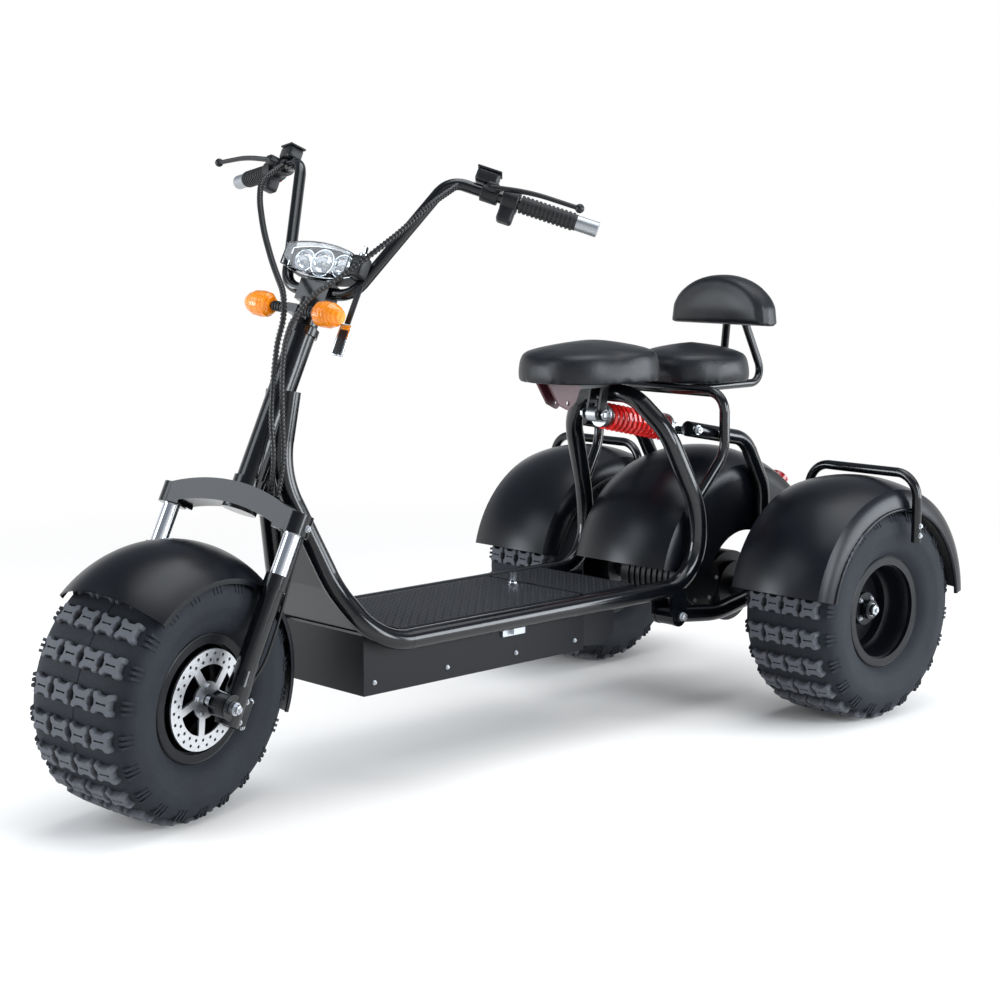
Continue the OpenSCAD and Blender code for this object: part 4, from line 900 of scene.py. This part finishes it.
HEAD = 0.72  # height of a head in shares of its washer's radius
for body, listed in spots.items():
    mesh = grown(bolts, bolt_points(body, listed), [(head_in, HEAD), (finish_in, zinc_plate)])
    made = piece(body + "_bolts", mesh, body, "zinc", zinc_plate, crease=30)
    print(made.name, len(mesh.polygons), "faces")

# %% [markdown]
# ## Headlight
# Behind the clear lens sit three pressed reflectors with a bulb each, on a bright backing plate. The
# reflector is a bowl turned on a lathe. It shows as light and dark arcs because it mirrors the room.

# %% Reflectors and bulbs
LAMP_UP = 810  # millimetres up the column
BOWL = [(0, 0), (9, 1.2), (17, 4.6), (22.5, 10.5), (24.5, 17), (26, 17), (24, 9.5), (18, 3), (9, -0.8),
        (0, -2)]
BULB = [(0, 0), (6, 0), (6, 7), (4.6, 10.5), (2.2, 12.3), (0, 12.8)]
shells, bulbs = [], []
for x, scale in ((-43, 0.84), (0, 0.98), (43, 0.84)):
    seat = fork_at(x, 4, LAMP_UP) @ FORWARD @ Matrix.Scale(scale, 4)
    shells.append(spun(BOWL, seat, 28))
    bulbs.append(spun(BULB, seat, 18))
shells.append(block((128, 2, 40), fork_at(0, 8, LAMP_UP), 0.6))
on_steering("headlight_reflectors", shells, "chrome", chrome_plate)
on_steering("headlight_bulbs", bulbs, "clear", bulb_glass)
print("headlight:", len(bulbs), "reflectors")

# %% [markdown]
# ## Key, fob and switches
# The ignition sits beside the lamp with the key in it, and a strap and a framed fob hang from the key.
# The lever perches carry a reservoir with a lid, and each switch pod has its buttons. All of it is
# small and boxy, so bevelled blocks and turned shapes are enough.

# %% Key case, strap and fob
CASE, HANG = (87.2, -18), (97.2, -10)  # millimetres left of the column and behind it
case = [block((28, 28, 40), fork_at(*CASE, LAMP_UP), 5), block((22, 3, 13), fork_at(CASE[0], -32, 820), 1.2),
        block((12, 3.4, 74), fork_at(*HANG, 742), 1.2), block((20, 6.4, 48), fork_at(*HANG, 670), 2.2)]
made = on_steering("key_case", case, slot_of["key_switch"], case_plastic)
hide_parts("key_switch")
metal = [spun([(0, 0), (9, 0), (9, 5), (7.5, 6.5), (0, 6.5)], fork_at(*CASE, 829.5), 24),
         block((2.6, 12, 18), fork_at(*CASE, 842), 1), block((26, 4.6, 60), fork_at(*HANG, 674), 2)]
on_steering("key_and_fob", metal, "chrome", chrome_plate)
print("key: case, strap, fob and blade")


# %% Levers, reservoirs and switches
def blade(path, widths, thick, place):
    points, around = [], 12
    for k, at in enumerate(path):
        along = (path[min(k + 1, len(path) - 1)] - path[max(k - 1, 0)]).normalized()
        across = along.cross(Vector((0, 0, 1))).normalized()
        for j in range(around):
            angle = 2 * math.pi * j / around
            offset = across * widths[k] * math.cos(angle) + Vector((0, 0, 1)) * thick * math.sin(angle)
            points.append(place @ ((at + offset) / 1000))
    return ringed("blade", points, around)


bar_high, bar_tip = Vector((170, 38, 1017)), Vector((415, 169, 1011))
outwards = (bar_tip - bar_high).normalized()
heading, fall = math.atan2(outwards.y, outwards.x), math.acos(outwards.z)
along_bar = Matrix.Rotation(heading, 4, "Z") @ Matrix.Rotation(fall, 4, "Y")
RING = [(11.4, 62), (16, 62), (17, 63.5), (17, 92.5), (16, 94), (11.4, 94)]
POD = [(11.4, 102), (20.5, 102), (22, 104), (22, 130), (20.5, 132), (11.4, 132)]
BUTTON = [(0, 0), (5.5, 0), (5.5, 3), (4.6, 4.2), (0, 4.8)]
BALL = [(0, -8.5), (4.2, -7.4), (7.4, -4.2), (8.5, 0), (7.4, 4.2), (4.2, 7.4), (0, 8.5)]
LEVER = eased([Vector((252, 50, 1019)), Vector((330, 66, 1024)), Vector((417, 94, 1017))], steps=8)
LEVER_W = [8.5 - 3.6 * k / (len(LEVER) - 1) for k in range(len(LEVER))]
perches, pods, lids, buttons = [], [], [], []
for side in (1, -1):
    half = fork_place @ Matrix.Scale(side, 4, (1, 0, 0))
    grip = half @ Matrix.Translation(bar_high / 1000) @ along_bar
    perches += [spun(RING, grip, 28, closed=True),
                block((25, 31, 43), grip @ Matrix.Translation((-0.0262, 0, 0.064)), 6),
                block((15, 29, 23), grip @ Matrix.Translation((-0.005, -0.022, 0.082)), 4),
                blade(LEVER, LEVER_W, 4.2, half), spun(BALL, half @ Matrix.Translation(LEVER[-1] / 1000), 18)]
    pods += [spun(POD, grip, 28, closed=True),
             block((44, 27, 29), grip @ Matrix.Translation((0.0218, 0, 0.117)), 6)]
    lids.append(block((4, 34, 46), grip @ Matrix.Translation((-0.0398, 0, 0.064)), 1.6))
    for x, z in ((0.012, 0.112), (0.028, 0.122)):
        place = grip @ Matrix.Translation((x, 0.0132, z)) @ Matrix.Rotation(-math.pi / 2, 4, "X")
        buttons.append(spun(BUTTON, place, 20))
made = on_steering("brake_perches", perches, slot_of["brake_levers"], casting)
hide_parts("brake_levers")
made = on_steering("switch_housings", pods, slot_of["switch_pods"], case_plastic)
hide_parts("switch_pods")
on_steering("reservoir_lids", lids, "case", case_plastic)
on_steering("switch_buttons", buttons, "red_lens", red_lens)
print("controls:", len(perches), "lever parts,", len(pods), "housings,", len(buttons), "buttons")

# %% [markdown]
# ## Brake caliper
# The caliper is a lumpy casting: an outer half with two round piston bosses, a bridge over the edge of
# the disc, and a bracket with two ears that bolt to the foot of the fork leg.

# %% Caliper
PISTON = [(0, 0), (14.5, 0), (14.5, 3.2), (13, 5), (8.5, 5), (7.5, 3.4), (0, 3.4)]
cast = [block((16, 54, 62), fork_at(111.6, 39, 0), 7), block((22, 11, 50), fork_at(108.8, 64.5, 0), 4),
        block((42, 21, 48), fork_at(126.2, 22.5, 0), 5)]
for z in (-15.5, 15.5):
    cast.append(spun(PISTON, fork_at(119.2, 39, z) @ SIDEWAYS, 28))
    cast.append(block((15, 12, 15), fork_at(139.4, 14, 1.2 * z), 3))
made = on_steering("caliper_casting", cast, slot_of["brake_caliper"], casting)
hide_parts("brake_caliper")
print("caliper:", len(cast), "lumps,", len(made.data.polygons), "faces")

# %% [markdown]
# ## Rims
# A pressed steel rim is not a plain drum: the sheet steps in from the flange to a well. A closed ring
# turned on a lathe gives each rim that stepped throat, and a rolled edge where the sheet ends.

# %% Stepped throats
# Radius and distance from the wheel's middle; the last two points lie where the table of wheels says
THROAT = [(98.2, 84), (95.5, 84), (93, 78), (91.5, 66), (90, 44), (87, 38), (83, 34), (81, None),
          (98.2, None)]
LIP = [(111.5, 92), (114, 93.6), (116, 92.4), (116.4, 90.4), (115, 88.8), (113, 89)]
for joint, tyre, body, throats in WHEELS:
    rings = []
    for side, inner in throats.items():
        seat = wheel_place(joint) @ SIDEWAYS @ Matrix.Scale(side, 4, (0, 0, 1))
        throat = [(r, inner if h is None else h) for r, h in THROAT]
        rings += [spun(throat, seat, 64, closed=True), spun(LIP, seat, 64, closed=True)]
    mesh = joined(body + "_throat", rings)
    piece(body + "_throat", mesh, body, "rim_paint", satin_coat, crease=25)
print("throats on", len(WHEELS), "wheels")

# %% [markdown]
# ## Pressed pattern of the mat
# The rubber mat is moulded with small lozenges that turn to and fro like a weave. A tree lays a grid
# over the mat and sets one lozenge on each crossing, turned by a quarter on every second one.

# %% Tree for the lozenges
press, given, (_, wide_in, long_in, across_in, down_in, finish_in) = new_tree("lozenges_on_mat", [
    ("Mat", "Geometry"), ("Width", "Float"), ("Length", "Float"), ("Across", "Int"), ("Along", "Int"),
    ("Finish", "Material")], "Lozenges")
LOZENGE = (0.0054, 0.0021, 0.0011)  # half its length, half its width and its height, in metres
grid = put(press, "GeometryNodeMeshGrid", {
    "Size X": given.outputs["Width"], "Size Y": given.outputs["Length"],
    "Vertices X": given.outputs["Across"], "Vertices Y": given.outputs["Along"]})
lozenge = put(press, "GeometryNodeMeshCone", {
    "Vertices": 4, "Radius Top": 0.72, "Radius Bottom": 1.0, "Depth": 1.0})
which = put(press, "GeometryNodeInputIndex")
every_second = put(press, "ShaderNodeMath", {0: which.outputs[0], 1: 2.0}, operation="MODULO")
quarter = put(press, "ShaderNodeMath", {0: every_second.outputs[0], 1: math.pi / 2}, operation="MULTIPLY")
turned = put(press, "ShaderNodeCombineXYZ", {"Z": quarter.outputs[0]})
laid = put(press, "GeometryNodeInstanceOnPoints", {
    "Points": grid.outputs["Mesh"], "Instance": lozenge.outputs["Mesh"], "Rotation": turned.outputs[0],
    "Scale": LOZENGE})
close_tree(press, given, laid.outputs[0])

# %% Press the mats
CELL, BORDER, SUNK = 0.0105, 0.016, 0.0002  # metres: spacing, both plain borders, depth
for node in ("deck_mat", "rear_mat"):
    low, high = box_of(node)
    size, middle = high - low - Vector((BORDER, BORDER, 0)), (high + low) / 2
    across, along = [2 * round(length / CELL / 2) + 1 for length in size[:2]]
    blank = bpy.data.meshes.new(node)
    mesh = grown(press, blank, [(wide_in, size.x), (long_in, size.y), (across_in, across), (down_in, along),
                                (finish_in, mat_rubber)])
    mesh.transform(Matrix.Translation((middle.x, middle.y, high.z - SUNK)))
    piece(node + "_pattern", mesh, body_of[node], "mat", mat_rubber, crease=20)
    print(node, across, "by", along, "lozenges")

# %% [markdown]
# ## Studio
# Black paint has no shape of its own: it shows what it reflects. So the room is white only along the
# horizon and grey overhead, and a few soft lamps stand in it. They draw the long highlights on the
# tubes and the broad ones on the fenders. The pale floor takes a soft shadow, and far out it melts
# into the white of the horizon.

# %% Floor
floor_mesh = mesh_of("floor", [(-40, -40, 0), (40, -40, 0), (40, 40, 0), (-40, 40, 0)], [(0, 1, 2, 3)])
# Matt studio paint: pale and almost even, with clouds more than a metre wide
CLOUDS = 1000 / 0.7  # millimetres
floor_paint, tree, shader, spot = finish("pale_floor", "#faf7f3", 0.9, Specular_IOR_Level=0.0)
cloud = put(tree, "ShaderNodeTexNoise", {"Vector": spot, "Scale": mm(CLOUDS)})
tone = put(tree, "ShaderNodeMix", {
    0: cloud.outputs["Fac"], 6: linear("#f9f6f2"), 7: linear("#fbf8f4")}, data_type="RGBA")
wire(shader, {"Base Color": tone.outputs[2]})
far = put(tree, "ShaderNodeVectorMath", {0: spot}, operation="LENGTH")
FADE_FROM, FADE_TO = 1.3, 3.6  # metres from the middle
fade = put(tree, "ShaderNodeMapRange", {
    "Value": far.outputs["Value"], "From Min": FADE_FROM, "From Max": FADE_TO},
    interpolation_type="SMOOTHSTEP")
seen = put(tree, "ShaderNodeLightPath")
mirrored = put(tree, "ShaderNodeMath", {
    0: seen.outputs["Is Camera Ray"], 1: seen.outputs["Is Glossy Ray"]}, operation="MAXIMUM")
looked_at = put(tree, "ShaderNodeMath", {
    0: mirrored.outputs[0], 1: seen.outputs["Is Transmission Ray"]}, operation="MAXIMUM")
amount = put(tree, "ShaderNodeMath", {
    0: fade.outputs["Result"], 1: looked_at.outputs[0]}, operation="MULTIPLY")
white = put(tree, "ShaderNodeEmission", {"Color": (1, 1, 1, 1), "Strength": 1.0})
mixed = put(tree, "ShaderNodeMixShader", {
    0: amount.outputs[0], 1: shader.outputs["BSDF"], 2: white.outputs[0]})
wire(tree.nodes["Material Output"], {"Surface": mixed.outputs[0]})
floor_mesh.materials.append(floor_paint)
floor = shown("studio_floor", floor_mesh)
print("floor fades to white between", FADE_FROM, "and", FADE_TO, "m")

# %% Room and lamps
world = bpy.data.worlds.new("studio_room")
bpy.context.scene.world = world
world.use_nodes = True
tree = world.node_tree
direction = put(tree, "ShaderNodeTexCoord")
axes = put(tree, "ShaderNodeSeparateXYZ", {"Vector": direction.outputs["Generated"]})
HORIZON, CEILING = 0.16, 0.42  # sines of the height angles: white up to the first, grey from the second
GREY = 0.32  # how bright the room is overhead, where the horizon is 1
level = put(tree, "ShaderNodeMapRange", {"Value": axes.outputs["Z"], "From Min": HORIZON, "From Max": CEILING,
                                         "To Min": 1.0, "To Max": GREY})
room = tree.nodes["Background"]
tone = put(tree, "ShaderNodeMix", {
    0: level.outputs["Result"], 6: linear("#d3e0f5"), 7: linear("#ffffff")}, data_type="RGBA")
wire(room, {"Color": tone.outputs[2], "Strength": level.outputs["Result"]})

LAMPS = [  # name, place, aimed at, width, height, watts
    ("top_softbox", (0.2, 0.1, 3.2), (0, 0, 0.3), 2.6, 1.4, 26),
    ("side_strip", (3.6, 0.4, 1.6), (0, 0.1, 0.5), 1.2, 2.2, 90),
    ("bright_wall", (3.0, 2.8, 1.0), (0.2, 0.2, 0.5), 2.4, 1.8, 120),
    ("crown_softbox", (-1.3, -3.0, 2.6), (0, -0.5, 0.5), 1.6, 1.6, 28),
    ("front_softbox", (-2.0, -3.0, 0.9), (0, -0.5, 0.4), 1.4, 1.4, 70)]
COOL = (0.88, 0.94, 1.0)  # the lamps are daylight tubes, so black paint shines a little blue
for name, at, aim, wide, tall, watts in LAMPS:
    data = bpy.data.lights.new(name, "AREA")
    data.shape, data.size, data.size_y, data.energy = "RECTANGLE", wide, tall, watts
    data.color = COOL
    lamp = shown(name, data)
    lamp.location = at
    lamp.rotation_euler = (Vector(aim) - Vector(at)).to_track_quat("-Z", "Y").to_euler()
data = bpy.data.lights.new("overcast_sun", "SUN")
data.energy, data.angle = 1.3, math.radians(60)
lamp = shown("overcast_sun", data)
lamp.rotation_euler = (math.radians(-14), math.radians(10), 0)
bpy.context.scene.view_settings.view_transform = "Standard"
print("studio: floor, room and", len(LAMPS) + 1, "lamps")
